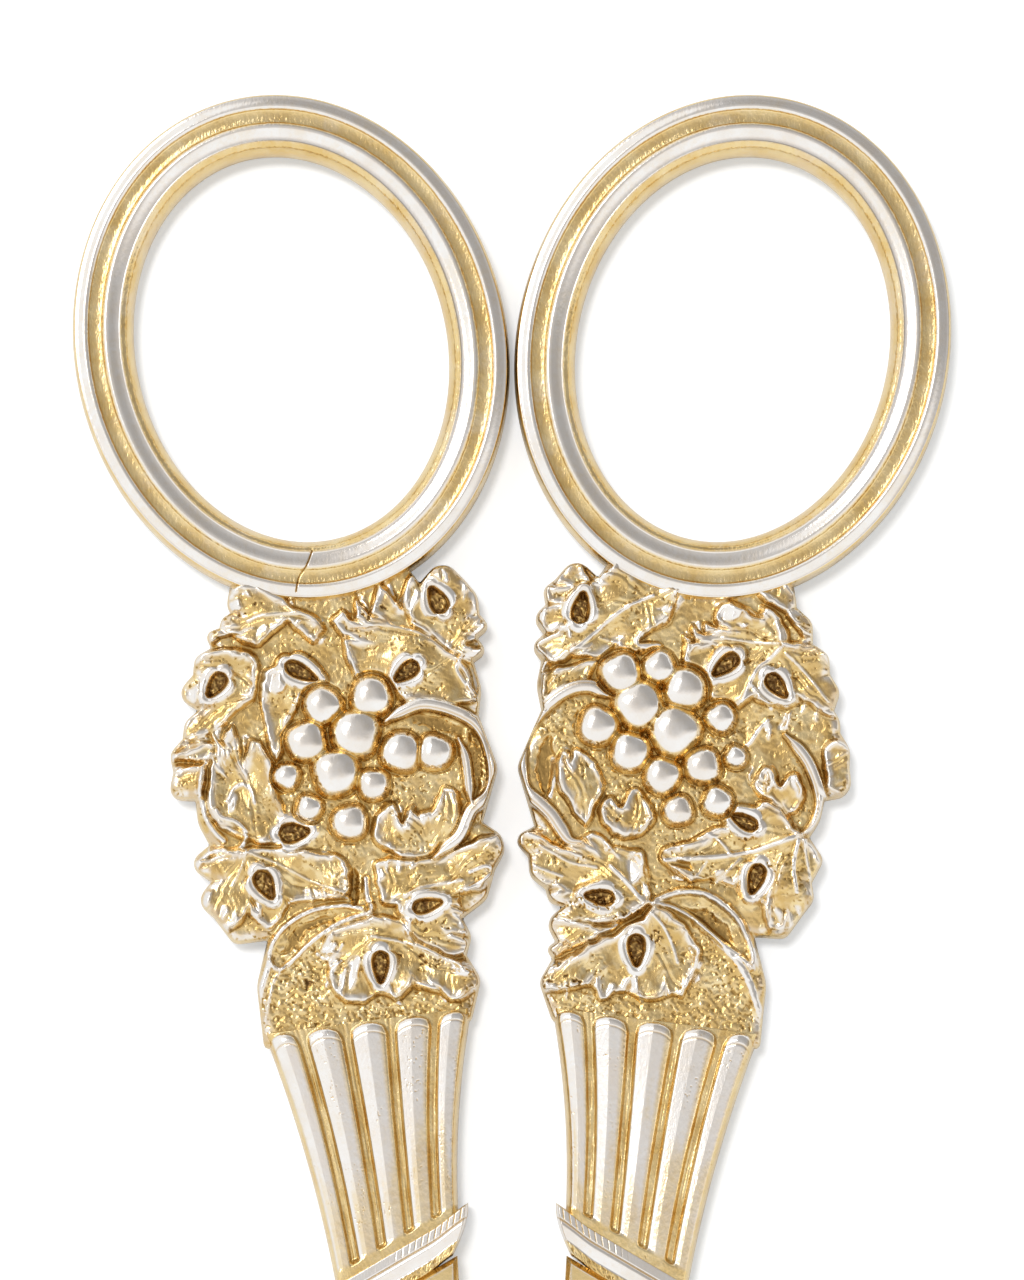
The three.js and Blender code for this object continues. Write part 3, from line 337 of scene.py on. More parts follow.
RIGHT_VINE = {
    "grapes": [
        (620.5, 672.5, 17), (659, 666.5, 14), (685, 688.5, 17.5), (638.5, 704.5, 20),
        (598, 725.5, 16.5), (674.5, 730.5, 21), (720.5, 717.5, 13), (630, 751.5, 16.5),
        (662, 775.5, 15.5), (702.5, 765.5, 15.5), (735.5, 756.5, 10), (678, 810, 13),
        (717, 801, 13),
    ],
    "leaves": [
        (0.34, (600, 655), [(560, 664), (585, 660), (600, 655), (590, 682), (576, 690),
         (560, 696), (548, 704), (538, 700), (544, 672)]),
        (0.4, (650, 598), [(580, 553), (585, 570), (592, 578), (604, 568), (622, 552), (650, 566),
         (684, 584), (678, 604), (673, 620), (652, 632), (642, 640), (661, 642), (664, 652),
         (640, 652), (612, 651), (596, 660), (572, 656), (556, 664), (536, 654), (528, 640),
         (543, 634), (532, 620), (532, 604), (546, 604), (540, 590), (543, 578), (556, 583),
         (554, 570), (566, 556)]),
        (0.38, (782, 645), [(684, 642), (682, 630), (693, 641), (690, 621), (704, 632),
         (703, 619), (719, 627), (714, 611), (720, 601), (738, 599), (757, 613), (768, 605),
         (780, 613), (790, 640), (812, 640), (830, 652), (846, 678), (856, 704), (846, 722),
         (822, 714), (800, 702), (782, 708), (752, 700), (735, 712), (706, 700), (696, 680),
         (682, 660)]),
        (0.44, (770, 602), [(752, 590), (782, 576), (806, 600), (826, 634), (815, 642),
         (796, 632), (785, 612), (766, 603)]),
        (0.38, (815, 770), [(822, 744), (838, 736), (856, 752), (858, 784), (850, 800),
         (826, 792)]),
        (0.4, (800, 832), [(660, 863), (664, 845), (690, 838), (706, 830), (722, 825), (735, 812),
         (760, 802), (775, 800), (801, 832), (818, 850), (834, 880), (826, 902), (810, 908),
         (806, 936), (785, 930), (766, 934), (762, 906), (745, 901), (735, 886), (715, 881),
         (690, 881), (680, 876), (668, 869)]),
        (0.44, (785, 815), [(745, 765), (752, 785), (760, 764), (770, 763), (778, 783),
         (788, 773), (799, 773), (807, 792), (801, 813), (786, 816), (770, 802), (755, 796)]),
        (0.42, (646, 902), [(508, 830), (528, 826), (545, 837), (562, 846), (580, 838),
         (590, 829), (604, 835), (612, 843), (626, 846), (636, 847), (644, 850), (648, 870),
         (653, 895), (641, 911), (620, 919), (600, 926), (560, 926), (540, 905), (546, 890),
         (524, 882), (514, 860)]),
        (0.38, (622, 922), [(544, 908), (560, 916), (600, 924), (622, 920), (600, 938),
         (560, 954), (540, 958), (548, 944), (538, 930)]),
        (0.44, (652, 914), [(650, 903), (640, 916), (600, 939), (560, 959), (536, 968),
         (534, 988), (566, 992), (590, 986), (600, 1002), (625, 991), (645, 1003), (668, 996),
         (685, 1002), (693, 976), (704, 950), (692, 930), (672, 912)]),
        (0.46, (583, 828), [(555, 762), (562, 745), (571, 750), (576, 743), (590, 752),
         (601, 763), (608, 781), (599, 802), (590, 820), (583, 829), (571, 815), (559, 790)]),
        (0.38, (626, 838), [(599, 801), (612, 790), (620, 804), (628, 785), (640, 783),
         (649, 795), (656, 818), (646, 836), (625, 839), (612, 833), (598, 820)]),
    ],
    "ridges": [
        (5, 0.16, 1.0, [(571, 651), (585, 641), (600, 628), (615, 615), (630, 605), (645, 598),
         (653, 595)]),
        (3.5, 0.08, 0.4, [(600, 637), (615, 642), (630, 650), (642, 652)]),
        (4, 0.12, 0.7, [(690, 651), (698, 643), (720, 638), (740, 640), (765, 643), (783, 643)]),
        (5, 0.16, 1.0, [(783, 645), (770, 658), (757, 669), (749, 685), (742, 702)]),
        (5, 0.16, 0.9, [(781, 642), (778, 626), (773, 613), (762, 606)]),
        (6, 0.22, 1.0, [(783, 645), (794, 645), (805, 641), (818, 645), (833, 661)]),
        (4, 0.12, 0.7, [(786, 654), (801, 668), (816, 686), (828, 702)]),
        (5, 0.14, 1.0, [(750, 684), (762, 697), (771, 708)]),
        (5, 0.16, 1.0, [(738, 752), (750, 742), (758, 730), (768, 720)]),
        (6, 0.16, 1.0, [(553, 758), (554, 775), (550, 796)]),
        (5, 0.26, 1.0, [(545, 662), (538, 675), (535, 690), (539, 706)]),
        (6, 0.2, 1.0, [(801, 834), (780, 842), (755, 850), (730, 855), (700, 858), (664, 860)]),
        (4, 0.12, 0.9, [(800, 832), (786, 815), (773, 804), (758, 803)]),
        (4, 0.12, 0.8, [(730, 853), (718, 840), (706, 833)]),
        (5, 0.14, 1.0, [(798, 840), (793, 865), (796, 892)]),
        (4, 0.12, 0.8, [(803, 840), (808, 870), (814, 902)]),
        (3.5, 0.1, 0.7, [(740, 858), (727, 871), (716, 882)]),
        (3.5, 0.1, 0.7, [(706, 862), (696, 876)]),
        (6, 0.2, 1.0, [(648, 902), (630, 914), (600, 934), (575, 950), (546, 968)]),
        (4, 0.12, 0.7, [(540, 845), (570, 862), (596, 867)]),
        (6, 0.18, 1.0, [(610, 866), (625, 881), (641, 899)]),
        (4, 0.12, 0.8, [(522, 861), (540, 868), (562, 876)]),
        (4, 0.12, 0.8, [(550, 917), (575, 922), (601, 932)]),
        (4, 0.14, 0.9, [(650, 912), (662, 925), (672, 945), (677, 962)]),
        (5, 0.16, 1.0, [(635, 966), (636, 984), (641, 1000)]),
        (8, 0.4, 1.0, [(655, 900), (675, 892), (700, 892), (720, 902), (737, 918), (748, 938),
         (753, 955), (752, 967)]),
        (6, 0.34, 1.0, [(650, 903), (670, 906), (690, 916), (705, 928), (722, 942), (740, 956),
         (750, 967)]),
        (10, 0.36, 1.0, [(697, 922), (715, 938), (735, 958), (748, 980), (755, 1000),
         (760, 1014)]),
        (4, 0.12, 0.9, [(716, 604), (726, 600), (745, 606), (756, 614)]),
        (5, 0.2, 1.0, [(508, 834), (512, 848), (520, 856)]),
    ],
    "tendrils": [
        (11, 0.62, [(615, 697), (600, 690), (590, 686), (575, 687), (560, 694), (545, 706),
         (532, 720), (524, 735), (520, 750), (521, 775), (525, 790), (540, 803), (552, 815),
         (562, 830), (570, 840), (580, 842)]),
        (9, 0.58, [(785, 735), (798, 748), (808, 762), (815, 778), (820, 795), (820, 808),
         (815, 822), (803, 833)]),
    ],
    "facets": [
        [(680, 586), (684, 598), (676, 613), (677, 598)],
        [(655, 610), (664, 604), (675, 606), (668, 613)], [(681, 631), (688, 630), (694, 641)],
        [(690, 621), (700, 619), (704, 632)], [(710, 615), (719, 615), (726, 622)],
        [(716, 605), (727, 601), (745, 607), (740, 618), (722, 620)],
        [(735, 622), (749, 624), (742, 631)], [(543, 581), (550, 584), (546, 605)],
        [(535, 607), (545, 608), (542, 629)], [(533, 640), (546, 653), (536, 651)],
        [(562, 614), (569, 618), (573, 640), (566, 638)],
        [(775, 729), (785, 711), (793, 712), (788, 731)], [(764, 725), (772, 721), (770, 743)],
        [(800, 701), (804, 703), (802, 717)], [(814, 707), (818, 709), (817, 726)],
        [(562, 747), (569, 745), (568, 757)], [(576, 745), (584, 748), (580, 757)],
        [(556, 763), (562, 752), (566, 766)],
        [(624, 862), (634, 850), (644, 850), (641, 881), (632, 886)],
        [(664, 867), (672, 871), (685, 881), (674, 881)], [(640, 881), (652, 884), (648, 896)],
        [(747, 763), (753, 769), (752, 783)], [(761, 771), (770, 763), (776, 776), (768, 796)],
        [(789, 775), (800, 773), (804, 790), (795, 801)], [(759, 905), (764, 899), (766, 923)],
        [(771, 905), (781, 911), (778, 926)], [(794, 904), (801, 905), (804, 926)],
        [(689, 946), (695, 942), (704, 949), (700, 954), (692, 953)],
        [(687, 959), (696, 957), (703, 963), (700, 969), (690, 966)],
        [(686, 976), (697, 972), (702, 979), (694, 984)], [(560, 986), (566, 980), (568, 1001)],
        [(602, 991), (610, 981), (615, 985), (606, 999)], [(627, 986), (634, 968), (638, 991)],
        [(659, 986), (664, 979), (673, 999)], [(512, 832), (520, 832), (525, 850), (518, 853)],
        [(600, 838), (606, 836), (612, 848), (604, 852)],
    ],
    "eyes": [
        (581, 607, 32, 16, -80), (725, 665, 32, 15, 140), (777, 686, 29, 15, 50),
        (743, 821, 30, 13, 208), (599, 897, 30, 14, 188), (755, 879, 31, 15, 108),
        (636, 950, 32, 16, 90),
    ],
    "hollows": [
        (0.28, [(536, 745), (548, 732), (556, 752), (553, 790), (545, 797), (533, 770)]),
        (0.25, [(678, 905), (706, 908), (728, 926), (743, 955), (735, 955), (712, 932),
         (692, 914)]),
        (0.28, [(662, 850), (690, 862), (692, 870), (664, 865)]),
        (0.2, [(800, 646), (813, 646), (812, 650), (802, 651)]),
        (0.2, [(798, 654), (818, 655), (820, 660), (800, 658)]),
        (0.22, [(549, 664), (546, 680), (543, 700), (548, 698), (553, 680), (557, 666)]),
    ],
    "pits": [
        (610, 668, 10, 6), (648, 700, 8, 14), (672, 848, 12, 8), (744, 838, 12, 4),
        (585, 858, 12, 8), (625, 915, 26, 8), (590, 905, 30, 10), (655, 935, 8, 10),
        (616, 812, 14, 12), (770, 862, 12, 6), (560, 980, 40, 10), (745, 590, 16, 6),
        (700, 880, 16, 5),
    ],
    "stipple": [
        (655, 985, 130, 60), (560, 720, 30, 30), (665, 740, 95, 90),
    ],
}


# Small tools for grids of numbers

def smooth(edge, width, value):
    """Rises from 0 to 1 as the value goes from the edge to the edge plus the width."""
    share = np.clip((value - edge) / width, 0, 1)
    return share * share * (3 - 2 * share)


def bell(value, middle, reach):
    """1 at the middle, falling away to both sides."""
    return np.exp(-((value - middle) / reach) ** 2)


def arch(value):
    """Half round: 1 at 0, down to 0 at -1 and at 1."""
    return np.sqrt(np.clip(1 - value ** 2, 0, 1))


def puff(depth, reach, power=2):
    """Quarter round that rises from a margin and levels out at the reach."""
    return np.sqrt(np.clip(1 - (1 - np.clip(depth / reach, 0, 1)) ** power, 0, 1))


def largest(*grids):
    return np.maximum.reduce(grids)


def turned(x, y, turn):
    """Places measured along a heading and across it."""
    return x * math.cos(turn) + y * math.sin(turn), y * math.cos(turn) - x * math.sin(turn)


def noise(across, up, seed):
    """Smooth random grid between 0 and 1, one cell for each unit, that repeats after its cells."""
    lattice = np.random.RandomState(seed).rand(CELLS, CELLS)
    left, low = np.floor(across).astype(int), np.floor(up).astype(int)
    part_x, part_y = across - left, up - low
    part_x, part_y = part_x ** 2 * (3 - 2 * part_x), part_y ** 2 * (3 - 2 * part_y)

    def pick(i, j):
        return lattice[(left + i) % CELLS, (low + j) % CELLS]

    bottom = pick(0, 0) * (1 - part_x) + pick(1, 0) * part_x
    top = pick(0, 1) * (1 - part_x) + pick(1, 1) * part_x
    return bottom * (1 - part_y) + top * part_y


def grain(x, y, size, seed):
    """Fine grain between 0 and 1, from three turned noises so that no lattice shows."""
    total = 0
    for k, degrees in enumerate((17, 61, 134)):
        across, up = turned(x, y, math.radians(degrees))
        total = total + noise(across / size + 7 * k, up / size, seed + k)
    return np.clip((total / 3 - 0.5) * 1.7 + 0.5, 0, 1)


def wavered(x, y):
    """Places shifted a little to and fro, so that a hand-cut margin wavers."""
    def shift(seed):
        coarse, fine = noise(x / 15, y / 15, seed), noise(x / 6, y / 6, seed + 1)
        return 5 * (coarse - 0.5) + 2 * (fine - 0.5)

    return x + shift(91), y + shift(93)


def blur(values, reach):
    """Three passes of a moving mean, along both sides of the grid."""
    kernel = np.ones(2 * reach + 1) / (2 * reach + 1)
    for axis in (0, 1) * 3:
        pad = [(reach, reach) if i == axis else (0, 0) for i in (0, 1)]
        padded = np.pad(values, pad, mode="edge")
        values = np.apply_along_axis(np.convolve, axis, padded, kernel, "valid")
    return values


# Runs and loops of points

def rounded_run(points, steps=5):
    """A smooth run through given points, with some steps from each to the next."""
    points = np.asarray(points, float)
    before = np.vstack([2 * points[0] - points[1], points[:-1]])
    after = np.vstack([points[1:], 2 * points[-1] - points[-2]])
    slope = (after - before) / 2
    run = []
    for i in range(len(points) - 1):
        for share in np.arange(steps) / steps:
            a, b = 2 * share ** 3 - 3 * share ** 2 + 1, share ** 3 - 2 * share ** 2 + share
            c, d = -2 * share ** 3 + 3 * share ** 2, share ** 3 - share ** 2
            run.append(a * points[i] + b * slope[i] + c * points[i + 1] + d * slope[i + 1])
    run.append(points[-1])
    return np.array(run)


def closed(loop):
    return np.vstack([loop, loop[:1]])


def segments(x, y, run):
    """For each segment of a run: its way, the nearest share of it and the offset from there."""
    for start, end in zip(run[:-1], run[1:]):
        way = end - start
        length = max(way @ way, TINY)
        share = np.clip(((x - start[0]) * way[0] + (y - start[1]) * way[1]) / length, 0, 1)
        yield way, share, x - start[0] - share * way[0], y - start[1] - share * way[1]


def line_distance(x, y, run):
    """Distance to a run of points, with its sign: positive to the right of the run's heading."""
    best = np.full(x.shape, np.inf)
    side = np.ones(x.shape)
    for way, _, off_x, off_y in segments(x, y, run):
        distance = np.hypot(off_x, off_y)
        closer = distance < best
        best = np.where(closer, distance, best)
        side = np.where(closer, np.sign(way[0] * off_y - way[1] * off_x), side)
    return best, side


def nearest_on_loop(x, y, loop):
    """Nearest point of a closed loop to each of some points."""
    best = np.full(x.shape, np.inf)
    near_x, near_y = x, y
    for _, _, off_x, off_y in segments(x, y, closed(loop)):
        distance = np.hypot(off_x, off_y)
        closer = distance < best
        best = np.where(closer, distance, best)
        near_x = np.where(closer, x - off_x, near_x)
        near_y = np.where(closer, y - off_y, near_y)
    return near_x, near_y


def creased(x, y, depth, creases, fade):
    """Depth inside a margin, with a crease that runs in from each notch and fades out."""
    for crease in creases:
        for _, share, off_x, off_y in segments(x, y, crease):
            depth = np.minimum(depth, np.hypot(off_x, off_y) + fade * share ** 1.5)
    return depth


def inside_distance(x, y, loop):
    """Distance inside a closed loop, negative outside it."""
    run = closed(np.asarray(loop, float))
    distance, _ = line_distance(x, y, run)
    inside = np.zeros(x.shape, bool)
    for start, end in zip(run[:-1], run[1:]):
        spans = (start[1] > y) != (end[1] > y)
        rise = end[1] - start[1]
        crossing = start[0] + (y - start[1]) * (end[0] - start[0]) / (rise if rise else TINY)
        inside ^= spans & (x < crossing)
    return np.where(inside, distance, -distance)


def corners_of(loop, least=0.2):
    """Tips and notches of a closed loop, leaving out corners that hardly turn."""
    loop = np.asarray(loop, float)
    onward, back = np.roll(loop, -1, 0) - loop, loop - np.roll(loop, 1, 0)
    area = np.sum(loop[:, 0] * np.roll(loop[:, 1], -1) - np.roll(loop[:, 0], -1) * loop[:, 1])
    turn = np.arctan2(back[:, 0] * onward[:, 1] - back[:, 1] * onward[:, 0], (back * onward).sum(1))
    turn *= np.sign(area)
    return np.nonzero(turn > least)[0], np.nonzero(turn < -least)[0]


def softened(loop, cut=0.4, longest=7.0):
    """The loop with its outward corners rounded and its notches left sharp."""
    loop = np.asarray(loop, float)
    tips, _ = corners_of(loop, 0.0)
    out = []
    for i, point in enumerate(loop):
        if i not in tips:
            out.append(point)
            continue
        ends = []
        for other in (loop[i - 1], loop[(i + 1) % len(loop)]):
            reach = np.linalg.norm(other - point)
            ends.append(point + (other - point) / max(reach, TINY) * min(cut * reach, longest))
        for share in (0, 0.25, 0.5, 0.75, 1):
            start = (1 - share) ** 2 * ends[0] + 2 * share * (1 - share) * point
            out.append(start + share ** 2 * ends[1])
    return np.array(out)


def vein_ends(tips, base, least=20, apart=0.62):
    """Ends of a leaf's main veins: the furthest tips, each well away from the others."""
    ends, headings = [], []
    for tip in sorted(tips, key=lambda point: -np.linalg.norm(point - base)):
        end = tip + 0.16 * (base - tip)
        heading = math.atan2(end[1] - base[1], end[0] - base[0])
        turns = [abs((heading - other + math.pi) % (2 * math.pi) - math.pi) for other in headings]
        if np.linalg.norm(end - base) > least and all(turn > apart for turn in turns):
            ends.append(end)
            headings.append(heading)
    return ends


def to_pixels(points):
    across = AXIS_PIXEL[0] + points[..., 0] * PIXELS_PER_MM
    down = AXIS_PIXEL[1] - (points[..., 1] - AXIS_Y) * PIXELS_PER_MM
    return np.stack([across, down], -1)


def to_mm(x, y):
    return (x - AXIS_PIXEL[0]) / PIXELS_PER_MM, AXIS_Y + (AXIS_PIXEL[1] - y) / PIXELS_PER_MM


# Pieces

def node_name(side, kind):
    return ("left_" if side < 0 else "right_") + kind


def grid_quads(index, flip):
    """One face for each cell of a grid of corner numbers."""
    corners = (index[:-1, :-1], index[:-1, 1:], index[1:, 1:], index[1:, :-1])
    quads = np.stack(corners, 2).reshape(-1, 4)
    return quads[:, ::-1] if flip else quads


def add_mesh(node, ending, places, faces, finish_and_painted_light, material):
    """A smooth mesh, from millimetres, that stands for a solid and rides on its body."""
    mesh = bpy.data.meshes.new(node + ending)
    mesh.from_pydata(places * MM, [], np.vstack(faces).tolist())
    mesh.update()
    mesh.polygons.foreach_set("use_smooth", np.ones(len(mesh.polygons), bool))
    layer = mesh.attributes.new("finish_and_painted_light", "FLOAT_COLOR", "POINT")
    silver, patina_and_shade = finish_and_painted_light
    colours = np.stack([silver, patina_and_shade, np.zeros_like(silver), np.ones_like(silver)], 1)
    layer.data.foreach_set("color", colours.astype(np.float32).ravel())
    mesh.materials.append(material)
    piece = bpy.data.objects.new(node + ending, mesh)
    bpy.context.scene.collection.objects.link(piece)
    body = frame["nodes"][node]["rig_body"]
    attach(piece, body)
    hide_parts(node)


def closed_slab(node, ending, plan, height, finish_and_painted_light, side, material):
    """Two faces that mirror each other, joined round their common margin."""
    top = np.arange(height.size).reshape(height.shape)
    places = [np.concatenate([plan, (MID + face * height)[..., None]], 2) for face in (1, -1)]
    border = np.concatenate([top[0], top[1:, -1], top[-1, -2::-1], top[-2:0:-1, 0]])
    onward = np.roll(border, -1)
    strip = np.stack([border, onward, onward + height.size, border + height.size], 1)
    faces = [grid_quads(top, side > 0), grid_quads(top + height.size, side < 0),
             strip[:, ::-1] if side < 0 else strip]
    finish_and_painted_light = [np.tile(values.ravel(), 2) for values in finish_and_painted_light]
    add_mesh(node, ending, np.vstack(places).reshape(-1, 3), faces, finish_and_painted_light, material)


# Vine panels

def middle_loop(node):
    """The solid's outline at its middle height, in order, in millimetres."""
    mesh = frame["nodes"][node].data
    places = np.array([v.co for v in mesh.vertices]) / MM
    level = np.abs(places[:, 2] - MID) < 1e-3
    keys = {}
    for i in np.nonzero(level)[0]:
        keys[i] = tuple(np.round(places[i, :2], 3))
    links = {}
    for edge in mesh.edges:
        a, b = edge.vertices
        if a in keys and b in keys and keys[a] != keys[b]:
            links.setdefault(keys[a], set()).add(keys[b])
            links.setdefault(keys[b], set()).add(keys[a])
    start = min(links)
    loop, last, here = [start], None, start
    while True:
        onward = [k for k in links[here] if k != last]
        last, here = here, onward[0]
        if here == start:
            return np.array(loop)
        loop.append(here)


def stretched_to_neighbours(loop, side):
    """The outline carried under the finger bow and under the tops of the grip's reeds."""
    centre, *tops = [np.array([side * x, y]) for x, y in (
        BOW["centre"], GRIP["top_outer"], GRIP["top_inner"])]
    oval = bow_run(side, 0)
    out = []
    for point in loop:
        ring, _ = line_distance(point[:1], point[1:], oval)
        if ring[0] < BOW["half_width"] + BOW_NEAR:
            point = point + (centre - point) / np.linalg.norm(centre - point) * BOW_OVERLAP
        if min(np.linalg.norm(point - top) for top in tops) < GRIP_NEAR:
            point = point - np.array([0, GRIP_OVERLAP])
        out.append(point)
    return np.array(out)


class Relief:
    """One face of a panel: height in millimetres, silver and patina, with painted highlight and
    shade among them, on a grid of pixels.
    """

    def __init__(self, loop):
        self.loop = loop
        low, high = loop.min(0) - 2 * GRID, loop.max(0) + 2 * GRID
        self.x, self.y = np.meshgrid(
            np.arange(low[0], high[0], GRID), np.arange(low[1], high[1], GRID), indexing="ij")
        self.inside = inside_distance(self.x, self.y, loop)
        self.height = np.full(self.x.shape, GROUND)
        self.silver = np.zeros(self.x.shape)
        self.patina_and_shade = np.zeros(self.x.shape)

    def window(self, points, margin):
        """The part of the grid round some points, and its places."""
        points = np.asarray(points, float).reshape(-1, 2)
        low = ((points.min(0) - margin - [self.x[0, 0], self.y[0, 0]]) / GRID).astype(int)
        high = ((points.max(0) + margin - [self.x[0, 0], self.y[0, 0]]) / GRID).astype(int) + 2
        low = np.clip(low, 0, None)
        part = slice(low[0], max(high[0], low[0])), slice(low[1], max(high[1], low[1]))
        return part, self.x[part], self.y[part]

    def patch(self, place_x, place_y, reach_x, reach_y, margin):
        """A window round an oval patch, and how deep each place lies inside the oval."""
        part, x, y = self.window([(place_x - reach_x, place_y - reach_y),
                                  (place_x + reach_x, place_y + reach_y)], margin)
        return part, x, y, 1 - np.hypot((x - place_x) / reach_x, (y - place_y) / reach_y)

    def lay(self, part, height, cover):
        """Lays a surface over the relief where the cover is 1."""
        self.height[part] = self.height[part] * (1 - cover) + height * cover

    def stain(self, part, silver, patina_and_shade, off_silver=0, off_patina=0):
        """Adds silver and patina, painted highlight and shade included, after taking a share of the
        old ones off.
        """
        self.silver[part] = np.maximum(self.silver[part] * (1 - off_silver), silver)
        self.patina_and_shade[part] = np.maximum(self.patina_and_shade[part] * (1 - off_patina), patina_and_shade)

    def leaf(self, rise, base, margin, seed):
        """A modelled leaf: puffed lobes, a crease at each notch, main veins and brushed fields,
        with silver along the lobes leaning to the lit side as a painted highlight and painted shade
        beside the margins away from the light.
        """
        points, base = np.asarray(margin, float), np.asarray(base, float)
        edge = softened(points)
        part, x, y = self.window(edge, 10)
        x, y = wavered(x, y)
        depth = inside_distance(x, y, edge)
        tips, notches = corners_of(points)
        creases = [(points[i], points[i] + LEAF["crease"] * (base - points[i])) for i in notches]
        lobes = creased(x, y, depth, creases, LEAF["crease_fade"])
        folds = noise(x / 34, y / 34, seed + 40) + 0.3 * noise(x / 14, y / 14, seed + 60) - 0.65
        face = GROUND + 0.3 * rise + (0.2 + 0.5 * rise) * puff(lobes, LEAF["puff"])
        face += LEAF["rim_rise"] * bell(lobes, *LEAF["rim"]) + LEAF["folds"] * folds
        along, across = turned(x, y, math.atan2(*(points.mean(0) - base)[::-1]))
        brushed = noise(along / 12, across / 1.9, seed) + noise(along / 7, across / 2.7, seed + 20)
        face += LEAF["brushing"] * (brushed - 1)
        vein = np.full(x.shape, np.inf)
        for end in vein_ends(points[tips], base):
            bend = (end + base) / 2 + 0.1 * np.array([base[1] - end[1], end[0] - base[0]])
            vein = np.minimum(vein, line_distance(x, y, rounded_run([end, bend, base]))[0])
        away = smooth(5, 9, np.hypot(x - base[0], y - base[1]))
        incised = bell(vein, 0, LEAF["vein_groove"]) * away
        banks = LEAF["bank_rise"] * away * bell(vein, *LEAF["vein_banks"])
        face += banks - LEAF["groove_depth"] * incised
        cover = smooth(-2.2, 5, depth)
        self.lay(part, face, cover)
        slope_x, slope_y = np.gradient(depth, GRID)
        # lit: how far a margin faces the light from the upper left
        lit = np.clip(0.8 * slope_x + 0.6 * slope_y, -1, 1)
        spots = noise(x / 12, y / 12, seed + 80)
        # Silver rubbed along the lobes, kept more where they face the light: wear with a painted
        # highlight
        crest = bell(lobes, *LEAF["crest"]) * smooth(0.15, 0.25, spots + 0.25 * lit)
        # Painted shade: dark just outside the margins that face away from the light
        shade = bell(depth, *LEAF["shade"]) * np.clip(0.2 - 0.8 * lit, 0, 1)
        seam = bell(lobes, 0, LEAF["seam"]) * smooth(2, 3, depth)
        lines = smooth(0.85, -0.45, brushed) * smooth(3, 5, depth)
        dark = largest(shade, 0.7 * seam, 0.35 * incised, 0.5 * lines)
        self.stain(part, 0.95 * crest * cover, dark, cover, cover)

    def ridge(self, width, rise, silver, points):
        part, x, y = self.window(points, width)
        distance, _ = line_distance(x, y, rounded_run(points))
        crest = smooth(0, 1, 1 - distance / (width * 0.8))
        self.height[part] += rise * crest
        foot = bell(distance, width * 0.9, 1.1)
        self.stain(part, silver * smooth(0.3, 0.5, crest), 0.22 * foot, off_patina=crest)

    def tendril(self, width, rise, points):
        """A rounded stem with one chased line beside its crest, thinner towards both ends."""
        part, x, y = self.window(points, width + 6)
        from_end = np.minimum(*(np.hypot(x - points[i][0], y - points[i][1]) for i in (0, -1)))
        half = (width / 2 + 1.5) * (0.35 + 0.65 * smooth(0, 22, from_end))
        distance, side = line_distance(x, y, rounded_run(points))
        line = bell(distance * side, 0.42 * half, 0.8)
        top = GROUND + rise - 0.3 + 0.7 * arch(distance / (half + 1.2)) - 0.09 * line
        cover = smooth(-1.2, 2.6, half - distance)
        self.lay(part, np.maximum(self.height[part], top), cover)
        foot = bell(distance - half, 1.6, 1.4)
        self.stain(part, cover, np.maximum(0.5 * line * cover, 0.4 * foot), cover, cover)

    def facet(self, *margin):
        """A tooth's flank rubbed bright, which leans towards the left, with painted shade just
        outside its right side.
        """
        part, x, y = self.window(margin, 7)
        x, y = wavered(x, y)
        depth = inside_distance(x, y, softened(margin))
        cover = smooth(-2.4, 4.6, depth)
        middle = np.mean(margin, 0)
        lean = 0.045 * (x - middle[0]) + 0.01 * (y - middle[1])
        self.height[part] += cover * (0.08 + np.clip(lean, -0.22, 0.22))
        # Painted shade: dark just outside the facet on its right, away from the light
        shade = bell(depth, -2.2, 1.1) * smooth(0, 2, x - middle[0])
        self.stain(part, cover, 0.4 * shade, off_patina=cover)

    def eye(self, place_x, place_y, length, width, heading):
        """The eye between two lobes: a pointed pit in a rolled silver ring."""
        part, x, y = self.window([(place_x, place_y)], length)
        along, across = turned(x - place_x, y - place_y, math.radians(heading))
        along = along / (length / 2)
        taper = arch(along) * np.clip(1 - 0.42 * along, 0.2, 1.3)
        beyond = np.clip(np.abs(along) - 1, 0, None) * length / 2
        depth = np.where(beyond > 0, -np.hypot(beyond, across), width / 2 * taper - np.abs(across))
        pit = smooth(-0.8, 3.2, depth)
        ring = bell(depth, *EYE["ring"])
        grains = grain(x, y, EYE["grain"], 5)
        zone = smooth(-13, 6, depth)
        under = self.height[part][zone > 0.5]
        level = np.median(under) if under.size else GROUND + 0.3
        self.height[part] += (level - self.height[part]) * zone
        grit = 0.2 * pit * (grains - 0.5)
        self.height[part] += EYE["ring_rise"] * ring - EYE["pit_depth"] * pit + grit
        lip = 0.45 * bell(depth, *EYE["lip"])
        dark = np.maximum(lip, pit * np.clip(1.5 - 1.1 * grains, 0.55, 1))
        self.stain(part, smooth(0.15, 0.35, ring), dark, zone, zone)

    def hollow(self, depth, margin):
        part, x, y = self.window(margin, 5)
        cover = smooth(-1.5, 5, inside_distance(*wavered(x, y), margin))
        self.height[part] -= depth * cover
        self.stain(part, 0, 0.75 * cover, off_silver=cover)

    def pitted(self, *place_and_reach):
        """Casting pits in a patch."""
        part, x, y, patch = self.patch(*place_and_reach, 4)
        pit = smooth(0.66, 0.14, grain(x, y, 2.6, 9)) * smooth(0, 0.35, patch)
        self.height[part] -= 0.12 * pit
        self.stain(part, 0, pit, off_silver=pit)

